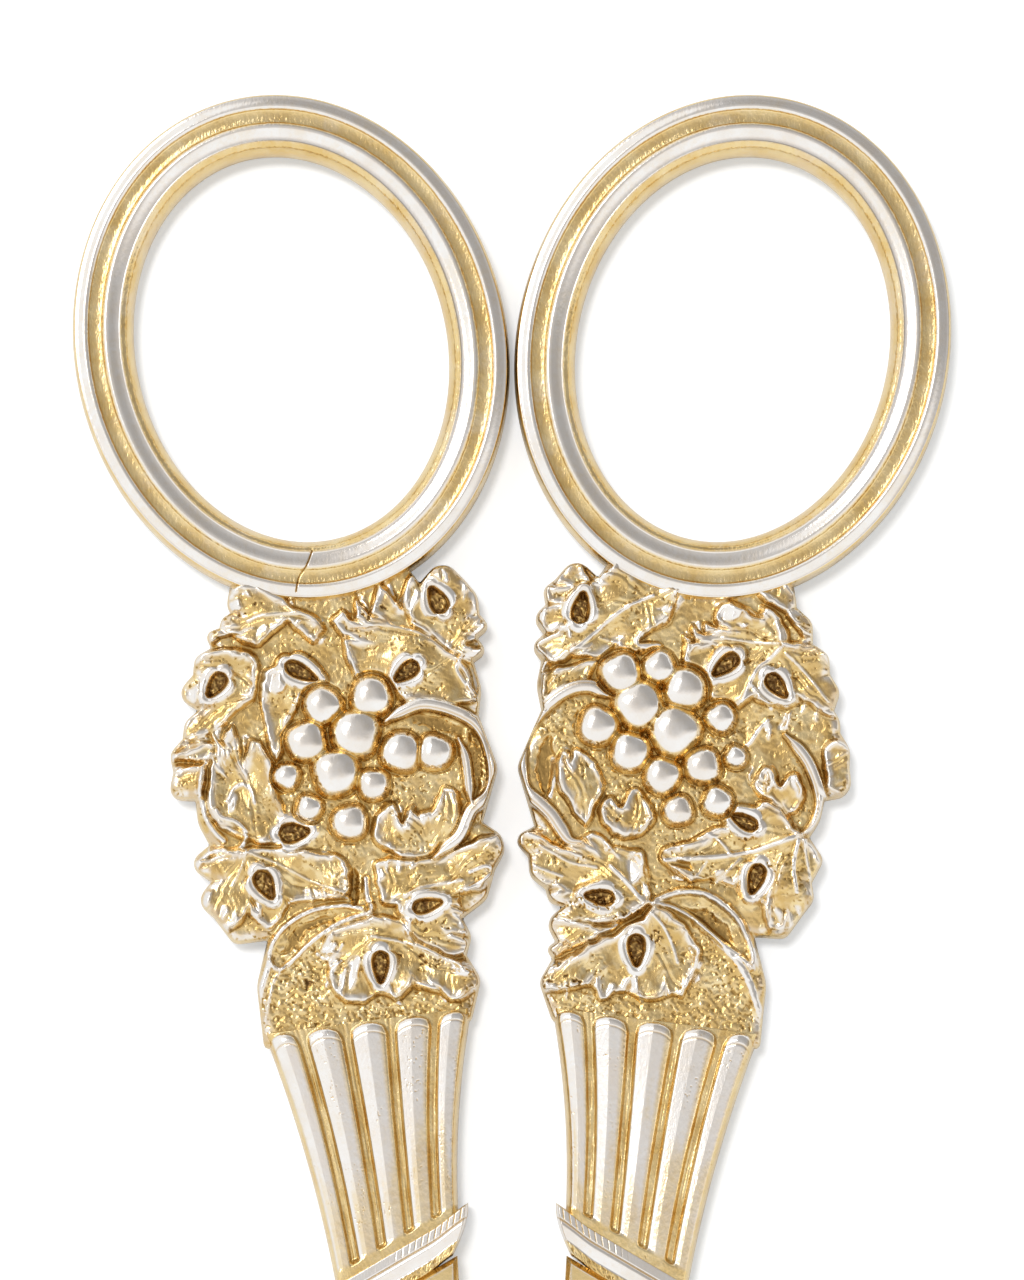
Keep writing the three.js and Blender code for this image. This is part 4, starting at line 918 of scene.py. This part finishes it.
    def stippled(self, *place_and_reach):
        """Ground matted with a punch, where it lies low."""
        part, x, y, patch = self.patch(*place_and_reach, 2)
        shown = smooth(GROUND + 0.16, -0.12, self.height[part]) * smooth(0, 0.15, patch)
        grains = grain(x, y, 2.7, 12)
        self.height[part] += 0.13 * (grains - 0.5) * shown
        self.stain(part, 0, 0.75 * smooth(0.34, -0.16, grains) * shown)

    def bed(self, place_x, place_y, radius):
        """Ground sunk round a grape, with nothing rubbed bright there."""
        part, x, y = self.window([(place_x, place_y)], 2 * radius)
        reach = np.hypot(x - place_x, y - place_y) / radius
        near = 1 - smooth(GRAPE["foot"] - 0.1, 0.35, reach)
        sunk = np.minimum(self.height[part], GROUND - GRAPE["sunk"])
        self.height[part] += (sunk - self.height[part]) * near
        self.stain(part, 0, 0.06 * near, near, near)

    def grape(self, place_x, place_y, radius):
        """A gilt ball, a little out of round, whose top is rubbed to the silver."""
        foot = GRAPE["foot"]
        part, x, y = self.window([(place_x, place_y)], foot * radius + 3)
        angle = np.arctan2(y - place_y, x - place_x)
        wobble = 1 + 0.04 * np.sin(3 * angle + place_x) + 0.03 * np.sin(4 * angle + place_y)
        share = np.hypot(x - place_x, y - place_y) / (radius * wobble)
        size = GRAPE["least"] + (1 - GRAPE["least"]) * radius / GRAPE["largest"]
        low = GROUND - 0.15
        swell = np.sqrt(np.clip(1 - (share / foot) ** GRAPE["round"], 0, 1))
        dome = low + (GRAPE["top"] - low) * size * swell
        over = (share < foot) & (dome > self.height[part])
        line = 0.12 * bell(share, 1.07, 0.05)
        dark = np.maximum(line, 0.55 * smooth(foot - 0.04, 0.04, share))
        self.height[part] = np.where(over, dome, self.height[part])
        self.silver[part] = np.where(over, 1 - smooth(0.95, 0.1, share), self.silver[part])
        self.patina_and_shade[part] = np.where(over, dark, self.patina_and_shade[part])


def carved(loop, vine):
    """All the marks of one vine, laid in the order in which they overlap."""
    relief = Relief(loop)
    x, y = relief.x, relief.y
    relief.height += 0.2 * (grain(x, y, 24, 1) - 0.5) + 0.06 * (grain(x, y, 3, 2) - 0.5)
    for i, leaf in enumerate(vine["leaves"]):
        relief.leaf(*leaf, 100 + i)
    for marks, tool in (
        ("hollows", relief.hollow), ("ridges", relief.ridge), ("facets", relief.facet),
        ("eyes", relief.eye), ("tendrils", relief.tendril), ("pits", relief.pitted),
        ("stipple", relief.stippled), ("grapes", relief.bed), ("grapes", relief.grape),
    ):
        for mark in vine[marks]:
            tool(*mark)
    return relief


def finished(relief):
    """Puffed border, wall, and the wear and patina that follow the relief's ups and downs."""
    x, y, points = relief.x, relief.y, relief.loop
    creases = []
    for i in corners_of(points, 0.35)[1]:
        ways = [points[i] - points[i - 1], points[i] - points[(i + 1) % len(points)]]
        inward = sum(way / max(np.linalg.norm(way), TINY) for way in ways)
        inward /= max(np.linalg.norm(inward), TINY)
        creases.append((points[i], points[i] + BORDER["crease"] * inward))
    border = creased(x, y, relief.inside, creases, BORDER["crease_fade"])
    depth = relief.inside / PIXELS_PER_MM
    share = np.clip(depth / WALL, 0, 1)
    surface = relief.height - BORDER["drop"] * (1 - puff(border, BORDER["puff"]))
    bare = relief.silver < 0.5
    pores = smooth(0.7, 0.12, grain(x, y, 2.2, 61)) * smooth(0.4, 0.2, noise(x / 22, y / 22, 62))
    mottle = smooth(0.36, 0.3, grain(x, y, 8, 63)) * (1 - smooth(0.3, 0.3, relief.silver))
    surface -= 0.07 * pores * bare
    wide, fine = surface - blur(surface, 6), surface - blur(surface, 2)
    worn = smooth(0.06, 0.2, wide) * 0.6 + smooth(0.025, 0.05, fine) * 0.25
    rim = bell(border, *BORDER["rim"]) * smooth(0.22, 0.3, noise(x / 12, y / 12, 77))
    silver = largest(relief.silver, 0.85 * worn, 0.9 * rim) * smooth(0.35, 0.4, share)
    cavity = smooth(0.07, 0.05, -fine) * 0.7
    seam = bell(border, 0, BORDER["seam"]) * smooth(2, 3, relief.inside)
    patina_and_shade = largest(relief.patina_and_shade, cavity, 0.5 * seam, 0.45 * mottle, 0.85 * pores * bare)
    patina_and_shade = np.maximum(np.clip(patina_and_shade, 0, 1) * share, 0.12 * smooth(0.0, 0.75, 1 - share))
    return surface * puff(depth, WALL, 2.6), np.clip(silver, 0, 1), patina_and_shade


def vine_panel(side, vine, material):
    """The relief's upper face and its mirror image, closed along the solid's outline."""
    node = node_name(side, "vine_panel")
    loop = softened(to_pixels(stretched_to_neighbours(middle_loop(node), side)), cut=0.42)
    relief = carved(loop, vine)
    height, silver, patina_and_shade = finished(relief)
    corner = relief.inside > 0
    cell = corner[:-1, :-1] | corner[1:, :-1] | corner[:-1, 1:] | corner[1:, 1:]
    used = np.zeros(corner.shape, bool)
    for i, j in ((0, 0), (1, 0), (0, 1), (1, 1)):
        used[i:used.shape[0] - 1 + i, j:used.shape[1] - 1 + j] |= cell
    rim = used & ~corner
    x, y = relief.x.copy(), relief.y.copy()
    x[rim], y[rim] = nearest_on_loop(x[rim], y[rim], loop)
    height = np.where(rim, 0, height)
    top = np.full(corner.shape, -1)
    top[used] = np.arange(used.sum())
    bottom = top.copy()
    bottom[corner] = used.sum() + np.arange(corner.sum())
    x, y = to_mm(x, y)
    places = np.vstack([
        np.stack([x[used], y[used], MID + height[used]], 1),
        np.stack([x[corner], y[corner], MID - height[corner]], 1),
    ])
    faces = [grid_quads(top, False)[cell.ravel()], grid_quads(bottom, True)[cell.ravel()]]
    finish_and_painted_light = [np.concatenate([values[used], values[corner]]) for values in (silver, patina_and_shade)]
    add_mesh(node, "_cast", places, faces, finish_and_painted_light, material)


# Finger bows

def bow_run(side, distance):
    """Closed run at a distance outside the oval's centre line, with finer steps at the seam."""
    near_seam = BOW["seam_turn"] + np.linspace(-1, 1, BOW["seam_steps"]) * BOW["seam_reach"]
    turn = np.sort(np.concatenate([np.linspace(0, 2 * math.pi, BOW["steps"] + 1), near_seam]))
    x, y = BOW["short_radius"] * np.cos(turn), BOW["long_radius"] * np.sin(turn)
    out_x, out_y = BOW["long_radius"] * np.cos(turn), BOW["short_radius"] * np.sin(turn)
    size = np.hypot(out_x, out_y)
    across, up = turned(x + distance * out_x / size, y + distance * out_y / size, BOW["lean"])
    return np.stack([side * (BOW["centre"][0] + across), BOW["centre"][1] + up], 1)


def bow_section():
    """Offset from the centre line, height, silver and patina across one face of the moulding."""
    half, foot, top = BOW["half_width"], BOW["bead_foot"], BOW["bead_top"]
    rows = []

    def wall(start, width, angles):
        for angle in angles:
            offset = start - width * (1 - math.cos(angle))
            rows.append((offset, foot * math.sin(angle), 0.0, 0.08 * math.cos(angle)))

    def bead(start, width, crest, bare_from, bare_to):
        skew = math.log(0.5) / math.log(max(crest, 1 - crest))
        for share in np.linspace(0, 1, 25):
            place = share ** skew if crest > 0.5 else 1 - (1 - share) ** skew
            rise = math.sin(math.pi * place)
            bare = smooth(bare_from - 0.1, 0.2, share) * (1 - smooth(bare_to - 0.1, 0.2, share))
            rows.append((start - width * share, foot + (top - foot) * rise, float(bare), 0.0))

    wall(half, BOW["outer_wall"], np.linspace(0, math.pi / 2, 12)[:-1])
    edge = half - BOW["outer_wall"]
    bead(edge, BOW["outer_bead"], 0.68, -0.2, 0.9)
    inner_edge = BOW["inner_wall"] - half + BOW["fillet"]
    start, end = edge - BOW["outer_bead"], inner_edge + BOW["inner_bead"]
    for share in np.linspace(0.08, 0.92, 11):
        floor = foot + (BOW["groove_floor"] - foot) * math.sin(math.pi * share)
        rows.append((start + (end - start) * share, floor, 0.0, 0.1))
    bead(end, BOW["inner_bead"], 0.3, 0.16, 1.2)
    for share in np.linspace(0.2, 0.9, 5):
        bulge = 0.1 * math.sin(math.pi * share)
        rows.append((inner_edge - BOW["fillet"] * share, foot + bulge, 0.7 * (1 - share), 0.0))
    wall(-half, -BOW["inner_wall"], np.linspace(math.pi / 2, 0, 12)[1:])
    return np.array(rows)


SEAM = [(312, 550), (306, 566), (299, 576), (296, 591)]  # where the left bow's wire was closed


def finger_bow(side, material):
    """The moulding swept round the oval."""
    section = bow_section()
    loop = np.vstack([section, section[1:-1][::-1] * [1, -1, 1, 1]])
    runs = np.stack([bow_run(side, offset)[:-1] for offset in loop[:, 0]], 1)
    height, silver, patina_and_shade = (np.repeat(loop[None, :, i], len(runs), 0) for i in (1, 2, 3))
    x, y = np.moveaxis(to_pixels(runs), 2, 0)
    wear = noise(x / 30, y / 30, 21)
    silver = np.clip(silver * (0.85 + 0.3 * wear) + 0.2 * smooth(0.6, 0.3, wear), 0, 1)
    if side < 0:
        distance, _ = line_distance(x, y, rounded_run(SEAM))
        crack = bell(distance, 0, 0.8)
        height = height * (1 - 0.05 * crack)
        silver = silver * (1 - 0.7 * crack)
        patina_and_shade = np.maximum(patina_and_shade, crack)
    places = np.concatenate([runs, MID + height[..., None]], 2).reshape(-1, 3)
    index = np.arange(height.size).reshape(height.shape)
    faces = [grid_quads(np.pad(index, ((0, 1), (0, 1)), mode="wrap"), side > 0)]
    finish_and_painted_light = (silver.ravel(), patina_and_shade.ravel())
    add_mesh(node_name(side, "bow"), "_moulded", places, faces, finish_and_painted_light, material)


# Fluted grips

def grip_side(top, foot, hollow, share):
    """Hollowed side of the grip from the top to the foot, carried a little past it."""
    middle = (top + foot) / 2 + np.array([2 * hollow, 0])
    share = share[:, None]
    return (1 - share) ** 2 * top + 2 * share * (1 - share) * middle + share ** 2 * foot


def reed_profile(across, width, from_top, side):
    """Place on a reed, and how far it rises from its valleys and falls away beside its ridges."""
    bounds = np.array(GRIP["valleys"])
    reed = np.clip(np.searchsorted(bounds, across, side="right") - 1, 0, len(bounds) - 2)
    low, high = bounds[reed], bounds[reed + 1]
    place = (across - low) / (high - low) * 2 - 1
    from_valley = (1 - np.abs(place)) * (high - low) / 2 * width
    outermost = ((reed == 0) & (place < 0)) | ((reed == len(bounds) - 2) & (place > 0))
    from_valley = np.where(outermost, from_valley + GRIP["valley_half"], from_valley)
    valley = GRIP["valley_half"] * (1 + 1.1 * (1 - smooth(0, GRIP["notch"], from_top)))
    rise = smooth(0.5 * valley, 0.3, from_valley)
    ridge = np.where(place * side > 0, GRIP["left_ridge"], GRIP["right_ridge"])
    return place, rise, np.clip((np.abs(place) - ridge) / (1 - ridge), 0, 1)


def fluted_grip(side, material):
    """Five reeds with gilt valleys: silver facets to the left, gilding left on their right, the
    same way on both levers, so that the silver is in part a painted highlight on the lit side and
    the gilding in part painted shade on the far side.
    """
    top_outer, top_inner, foot_outer, foot_inner = (
        np.array(GRIP[key]) for key in ("top_outer", "top_inner", "foot_outer", "foot_inner"))
    station = np.linspace(0, 1 + GRIP["overrun"], GRIP["rows"])
    outer = grip_side(top_outer, foot_outer, -GRIP["outer_hollow"], station)
    inner = grip_side(top_inner, foot_inner, GRIP["inner_hollow"], station)
    widths = np.linalg.norm(outer - inner, axis=1)
    width, across = np.meshgrid(widths, np.linspace(0, 1, GRIP["columns"]), indexing="ij")
    station = np.repeat(station[:, None], GRIP["columns"], 1)
    length = np.linalg.norm(top_outer - foot_outer)
    from_top = station * length
    place, rise, bevel = reed_profile(across, width, from_top, side)
    land = smooth(GRIP["foot_land"], 0.5, (1 - station) * length)
    rise = 1 - (1 - rise) * land
    crown = GRIP["top_height"] + (GRIP["foot_height"] - GRIP["top_height"]) * station
    rounding = arch((across - 0.5) * GRIP["arch"])
    body = GRIP["side_height"] + (crown - GRIP["side_height"]) * rounding
    from_end = from_top - GRIP["end_gap"] - GRIP["crown"] * (1 - arch(place))
    dome = puff(from_end, GRIP["dome"])
    crease = bell(from_end, *GRIP["crease"]) * rise
    full = body - GRIP["bevel_drop"] * bevel * land
    floor = np.minimum(body - GRIP["valley_depth"], body * 0.86)
    edge = np.minimum(across, 1 - across) * width / GRIP["wall"]
    wall = puff(edge, 1, 3)
    x, y = side * across * widths.mean() * PIXELS_PER_MM, from_top * PIXELS_PER_MM
    sheen, streaks = noise(x / 16, y / 50, 31), noise(x / 1.8, y / 34, 35)
    pits = smooth(0.86, 0.06, noise(x / 1.8, y / 1.8, 33))
    pits = pits * smooth(0.5, 0.3, noise(x / 20, y / 26, 34)) * rise
    height = floor + (full - floor) * rise * dome - 0.05 * crease - 0.03 * pits
    height = height * wall - 0.07 * (1 - rise) * wall * (streaks - 0.5)
    # Gilding on each reed's right flank and silver on its left facet keep to the same side on both
    # levers, following the light from the left: partly painted shade and highlight
    flank = smooth(0.34, 0.3, -place * side)
    facet = smooth(0.30, 0.2, place * side)
    low_gold = smooth(0.5, 0.35, station + 0.7 * (sheen - 0.5)) * (1 - facet)
    gold = np.maximum(flank * (0.55 + 0.4 * sheen), 0.6 * low_gold)
    silver = smooth(0.35, 0.4, rise) * (1 - gold)
    silver = silver * smooth(0.1, 0.35, dome) * smooth(0.4, 0.4, edge) * land
    patina_and_shade = largest((0.05 + 0.65 * streaks ** 3) * (1 - rise), 0.45 * crease, 0.6 * pits)
    patina_and_shade = np.maximum(patina_and_shade * smooth(0.2, 0.5, edge), 0.1 * (1 - np.clip(edge, 0, 1)))
    plan = outer[:, None] * (1 - across[..., None]) + inner[:, None] * across[..., None]
    plan[..., 0] *= side
    closed_slab(node_name(side, "fluted_grip"), "_reeded", plan, height, (silver, patina_and_shade), side,
                material)


def ribbon_collar(side, material):
    """A strap: a notched band, a chased line, a rounded band and a matted land below it."""
    outer, inner = np.array(GRIP["foot_outer"]), np.array(GRIP["foot_inner"])
    along = (outer - inner) / np.linalg.norm(outer - inner)
    down = np.array([along[1], -along[0]])
    width = COLLAR["width"]
    near, far = COLLAR["gap"], COLLAR["gap"] + width
    upper_outer = outer + down * near + along * COLLAR["side_step"]
    upper_inner = inner + down * near - along * COLLAR["overhang"]
    lower_outer = outer + down * far + along * (COLLAR["side_step"] + COLLAR["cut_back"] / 2)
    lower_inner = inner + down * far + along * COLLAR["cut_back"]
    fall, run = np.meshgrid(
        np.linspace(0, 1, COLLAR["rows"]), np.linspace(0, 1, COLLAR["columns"]), indexing="ij")
    f, r = fall[..., None], run[..., None]
    upper = (1 - r) * upper_outer + r * upper_inner
    lower = (1 - r) * lower_outer + r * lower_inner
    plan = (1 - f) * upper + f * lower - along * COLLAR["bulge"] * 4 * f * (1 - f) * r ** 9
    plan -= down * COLLAR["tip_lift"] * smooth(0.72, 0.28, r)
    plan[..., 0] *= side
    length = np.linalg.norm(upper_outer - upper_inner)
    pitch = COLLAR["notch_pitch"]
    beat = np.abs(((1 - run) * length / pitch + 0.5) % 1 - 0.5) * pitch
    shown = smooth(0.35, 0.5, run) * (1 - smooth(COLLAR["notch_reach"], 0.08, fall))
    notch = bell(beat, 0, COLLAR["notch_half"]) * shown
    edge = np.minimum(np.minimum(run, 1 - run) * length, np.minimum(fall, 1 - fall) * 2 * width)
    wall = puff(edge, COLLAR["wall"], 2.4)
    land = smooth(COLLAR["land"], 0.02, fall)
    matted = grain(run * length / 0.16, fall * width / 0.16, 1, 71)
    height = (np.interp(fall, *np.array(COLLAR["profile"]).T) - 0.07 * notch) * wall
    height += 0.06 * (matted - 0.5) * land * wall
    silver = (1 - 0.85 * notch) * smooth(0.02, 0.04, fall) * (1 - land)
    line = 0.75 * bell(fall, COLLAR["line"], 0.014)
    patina_and_shade = largest(line, 0.25 * notch, 0.7 * smooth(0.4, -0.2, matted) * land)
    closed_slab(node_name(side, "ribbon_collar"), "_strap", plan, height, (silver, patina_and_shade), side,
                material)


# Materials

def node_of(tree, kind, **settings):
    node = tree.nodes.new(kind)
    for key, value in settings.items():
        setattr(node, key, value)
    return node


def feed(tree, socket, value):
    """Gives a socket a link, a colour or a number."""
    if isinstance(value, bpy.types.NodeSocket):
        tree.links.new(value, socket)
    else:
        socket.default_value = (*value, 1) if isinstance(value, tuple) else value


def maths(operation):
    """A word for one kind of sum in a material."""
    def word(tree, first, second, clamp=False):
        node = node_of(tree, "ShaderNodeMath", operation=operation, use_clamp=clamp)
        feed(tree, node.inputs[0], first)
        feed(tree, node.inputs[1], second)
        return node.outputs[0]
    return word


plus, minus = maths("ADD"), maths("SUBTRACT")
times, larger = maths("MULTIPLY"), maths("MAXIMUM")


def colour_mix(tree, factor, first, second):
    """Mixes two colours, each a link or a plain colour."""
    mix = node_of(tree, "ShaderNodeMix", data_type="RGBA")
    for index, value in ((0, factor), (6, first), (7, second)):
        feed(tree, mix.inputs[index], value)
    return mix.outputs[2]


def ramp_of(tree, value, span, levels=(0.0, 1.0), kind="LINEAR"):
    """Changes from one level to another as a value crosses a span."""
    ramp = node_of(tree, "ShaderNodeMapRange", interpolation_type=kind)
    ramp.inputs["From Min"].default_value, ramp.inputs["From Max"].default_value = span
    ramp.inputs["To Min"].default_value, ramp.inputs["To Max"].default_value = levels
    tree.links.new(value, ramp.inputs["Value"])
    return ramp.outputs["Result"]


def noise_value(tree, scale, detail, low, high, stretch=(1, 1, 1)):
    """Procedural noise in the object's own place, ramped between two levels."""
    place = node_of(tree, "ShaderNodeTexCoord")
    mapping = node_of(tree, "ShaderNodeMapping")
    mapping.inputs["Scale"].default_value = stretch
    cloud = node_of(tree, "ShaderNodeTexNoise")
    cloud.inputs["Scale"].default_value = scale
    cloud.inputs["Detail"].default_value = detail
    tree.links.new(place.outputs["Object"], mapping.inputs["Vector"])
    tree.links.new(mapping.outputs["Vector"], cloud.inputs["Vector"])
    return ramp_of(tree, cloud.outputs["Fac"], (low, high))


def new_material(name):
    material = bpy.data.materials.new(name)
    material.use_nodes = True
    tree = material.node_tree
    return material, tree, tree.nodes["Principled BSDF"].inputs


def metal(name):
    material, tree, sockets = new_material(name)
    sockets["Metallic"].default_value = 1
    return material, tree, sockets


def bumped(tree, sockets, height, strength, distance):
    bump = node_of(tree, "ShaderNodeBump")
    bump.inputs["Distance"].default_value = distance
    feed(tree, bump.inputs["Strength"], strength)
    feed(tree, bump.inputs["Height"], height)
    feed(tree, sockets["Normal"], bump.outputs["Normal"])


def parcel_gilt():
    """Gilding over silver: worn to silver on what stands up, brown in what lies deep, both also
    carrying the painted highlight and shade laid in the vertex attribute.
    """
    material, tree, sockets = metal("parcel_gilt")
    layer = node_of(tree, "ShaderNodeAttribute", attribute_name="finish_and_painted_light")
    parts = node_of(tree, "ShaderNodeSeparateColor")
    tree.links.new(layer.outputs["Color"], parts.inputs["Color"])
    silver, patina_and_shade = parts.outputs["Red"], parts.outputs["Green"]
    speckle = noise_value(tree, 2600, 3, 0.3, 0.7)
    cloud = noise_value(tree, 420, 4, 0.35, 0.65)
    worn = plus(tree, silver, times(tree, minus(tree, speckle, 0.5), 0.2), clamp=True)
    gold = colour_mix(tree, cloud, GOLD, GOLD_PALE)
    bright = colour_mix(tree, cloud, SILVER, SILVER_WARM)
    base = colour_mix(tree, worn, gold, bright)
    shaded = colour_mix(tree, times(tree, patina_and_shade, 1.4, clamp=True), base, GOLD_DEEP)
    deep = times(tree, minus(tree, patina_and_shade, 0.55), 2.0, clamp=True)
    feed(tree, sockets["Base Color"], colour_mix(tree, deep, shaded, PATINA_AND_SHADE))
    rough = plus(tree, plus(tree, 0.13, times(tree, cloud, 0.08)), times(tree, patina_and_shade, 0.2))
    feed(tree, sockets["Roughness"], rough)
    fine = noise_value(tree, 4600, 2, 0.3, 0.7, stretch=(1, 0.5, 1))
    bumped(tree, sockets, fine, minus(tree, 0.4, times(tree, worn, 0.3)), 0.00004)
    return material


def edge_wear(tree, reach, cloud):
    """1 along the solid's edges, where a rounded normal leaves the face's own, broken by noise."""
    rounded = node_of(tree, "ShaderNodeBevel", samples=6)
    rounded.inputs["Radius"].default_value = reach
    own = node_of(tree, "ShaderNodeNewGeometry")
    dot = node_of(tree, "ShaderNodeVectorMath", operation="DOT_PRODUCT")
    tree.links.new(rounded.outputs["Normal"], dot.inputs[0])
    tree.links.new(own.outputs["Normal"], dot.inputs[1])
    off = times(tree, minus(tree, 1.0, dot.outputs["Value"]), 9.0, clamp=True)
    return times(tree, off, plus(tree, 0.45, cloud), clamp=True)


def gilt():
    """Plain gilding with a faint grain, rubbed to silver along its edges."""
    material, tree, sockets = metal("gilt")
    cloud = noise_value(tree, 260, 4, 0.35, 0.65)
    fine = noise_value(tree, 1700, 3, 0.35, 0.65)
    worn = edge_wear(tree, 0.0003, cloud)
    gold = colour_mix(tree, cloud, GOLD, GOLD_PALE)
    shaded = colour_mix(tree, times(tree, fine, 0.18), gold, GOLD_DEEP)
    feed(tree, sockets["Base Color"], colour_mix(tree, worn, shaded, SILVER))
    rough = plus(tree, 0.17, times(tree, fine, 0.1))
    feed(tree, sockets["Roughness"], minus(tree, rough, times(tree, worn, 0.1)))
    bumped(tree, sockets, fine, 0.3, 0.00003)
    return material


def brushed(name, colour, tint, edge, roughness, stretch):
    """Metal with fine lines along it, brighter and smoother where its edges are rubbed."""
    material, tree, sockets = metal(name)
    cloud = noise_value(tree, 180, 3, 0.35, 0.65)
    lines = noise_value(tree, 1400, 2, 0.3, 0.7, stretch=stretch)
    worn = edge_wear(tree, 0.0002, cloud)
    base = colour_mix(tree, cloud, colour, tint)
    feed(tree, sockets["Base Color"], colour_mix(tree, worn, base, edge))
    rough = plus(tree, roughness, times(tree, lines, 0.12))
    feed(tree, sockets["Roughness"], minus(tree, rough, times(tree, worn, 0.08)))
    bumped(tree, sockets, lines, 0.2, 0.00003)
    return material


def dress(node, material):
    mesh = frame["nodes"][node].data
    mesh.materials.clear()
    mesh.materials.append(material)


# Table, light and camera, in metres

def sheet(name, left, right, near, far, place, material):
    """A flat face with its corners given round its own place."""
    mesh = bpy.data.meshes.new(name)
    corners = [(left, near, 0), (right, near, 0), (right, far, 0), (left, far, 0)]
    mesh.from_pydata(corners, [], [(0, 1, 2, 3)])
    mesh.materials.append(material)
    piece = bpy.data.objects.new(name, mesh)
    piece.location = place
    bpy.context.scene.collection.objects.link(piece)
    return piece


def table():
    """A plain white floor, lifted to white for the camera alone."""
    material, tree, sockets = new_material("table_white")
    sockets["Base Color"].default_value = (0.80, 0.81, 0.83, 1)
    sockets["Roughness"].default_value = 0.9
    sockets["Specular IOR Level"].default_value = 0.1
    sockets["Emission Color"].default_value = (0.93, 0.97, 1, 1)
    light_path = node_of(tree, "ShaderNodeLightPath")
    feed(tree, sockets["Emission Strength"], times(tree, light_path.outputs["Is Camera Ray"], 0.36))
    floor = sheet("table", -3.0, 3.0, -3.0, 3.0, (0, 0, -0.00005), material)


def ceiling():
    """A grey studio ceiling, open to the left, that only the metal mirrors."""
    height, left, right, near, far = 0.8, -0.42, 4.0, -0.25, 4.0
    material, tree, sockets = new_material("ceiling_grey")
    sockets["Base Color"].default_value = (0, 0, 0, 1)
    sockets["Specular IOR Level"].default_value = 0
    sockets["Emission Color"].default_value = (1.0, 0.965, 0.94, 1)
    place = node_of(tree, "ShaderNodeTexCoord")
    parts = node_of(tree, "ShaderNodeSeparateXYZ")
    tree.links.new(place.outputs["Object"], parts.inputs["Vector"])
    x, y = parts.outputs["X"], parts.outputs["Y"]
    away = plus(tree, x, times(tree, y, 0.5))
    grey = ramp_of(tree, away, (-0.1, 0.9), (0.64, 0.42), "SMOOTHSTEP")
    from_left = ramp_of(tree, x, (left, left + 0.34), (1.0, 0.0), "SMOOTHSTEP")
    from_near = ramp_of(tree, y, (near, near + 0.38), (1.0, 0.0), "SMOOTHSTEP")
    lift = times(tree, larger(tree, from_left, from_near), minus(tree, 1.0, grey))
    feed(tree, sockets["Emission Strength"], plus(tree, grey, lift))
    card = sheet("ceiling", left, right, near, far, (0, AXIS_Y * MM, height), material)
    card.visible_diffuse = False
    card.visible_shadow = False
    card.visible_camera = False


def area_light(name, place, size, energy, mirrored, aim=(0, 0.06, 0)):
    lamp = bpy.data.lights.new(name, "AREA")
    lamp.shape = "DISK"
    lamp.size = size
    lamp.energy = energy
    holder = bpy.data.objects.new(name, lamp)
    holder.location = place
    holder.rotation_euler = (Vector(aim) - Vector(place)).to_track_quat("-Z", "Y").to_euler()
    holder.visible_glossy = mirrored
    bpy.context.scene.collection.objects.link(holder)


def surroundings():
    """White all round for the camera and for reflections, and dimmer as a lamp."""
    world = bpy.data.worlds.new("studio")
    bpy.context.scene.world = world
    world.use_nodes = True
    tree = world.node_tree
    rays = node_of(tree, "ShaderNodeLightPath").outputs
    seen = larger(tree, rays["Is Camera Ray"], rays["Is Glossy Ray"])
    seen = larger(tree, seen, rays["Is Transmission Ray"])
    background = tree.nodes["Background"].inputs
    background["Color"].default_value = (1, 1, 1, 1)
    feed(tree, background["Strength"], plus(tree, 0.5, times(tree, seen, 0.5)))


def camera():
    lens = bpy.data.cameras.new("camera")
    holder = bpy.data.objects.new("camera", lens)
    place = Vector((0, AXIS_Y, CAMERA_HEIGHT + MID)) * MM
    aim = Vector((0, AIM_Y, MID)) * MM
    holder.location = place
    holder.rotation_euler = (aim - place).to_track_quat("-Z", "Y").to_euler()
    lens.sensor_fit = "HORIZONTAL"
    lens.lens = lens.sensor_width * (aim - place).length / (FRAME_WIDTH * MM)
    lens.clip_start = 0.01
    lens.clip_end = 20
    bpy.context.scene.collection.objects.link(holder)
    bpy.context.scene.camera = holder


PARCEL_GILT = parcel_gilt()
GILT = gilt()
POLISHED = brushed("polished", SILVER, SILVER_WARM, SILVER_RUBBED, 0.14, (1, 0.2, 1))
GROUND_STEEL = brushed("ground_steel", STEEL, STEEL_WARM, STEEL_RUBBED, 0.24, (0.15, 1, 1))

for side, vine in ((-1, LEFT_VINE), (1, RIGHT_VINE)):
    finger_bow(side, PARCEL_GILT)
    vine_panel(side, vine, PARCEL_GILT)
    fluted_grip(side, PARCEL_GILT)
    ribbon_collar(side, PARCEL_GILT)

for half in ("left", "right"):
    dress(half + "_arm", GILT)
    dress(half + "_cutting_blade", GROUND_STEEL)
    for number in (1, 2, 3):
        dress(f"{half}_blade_rivet_{number}", GILT)
dress("pivot_screw", POLISHED)

table()
ceiling()
surroundings()
area_light("key", (-0.12, 0.19, 1.1), 0.17, 5.8, False)
area_light("softbox", (-0.42, 0.36, 0.74), 0.5, 1.85, True)
camera()
bpy.context.scene.view_settings.view_transform = "Standard"
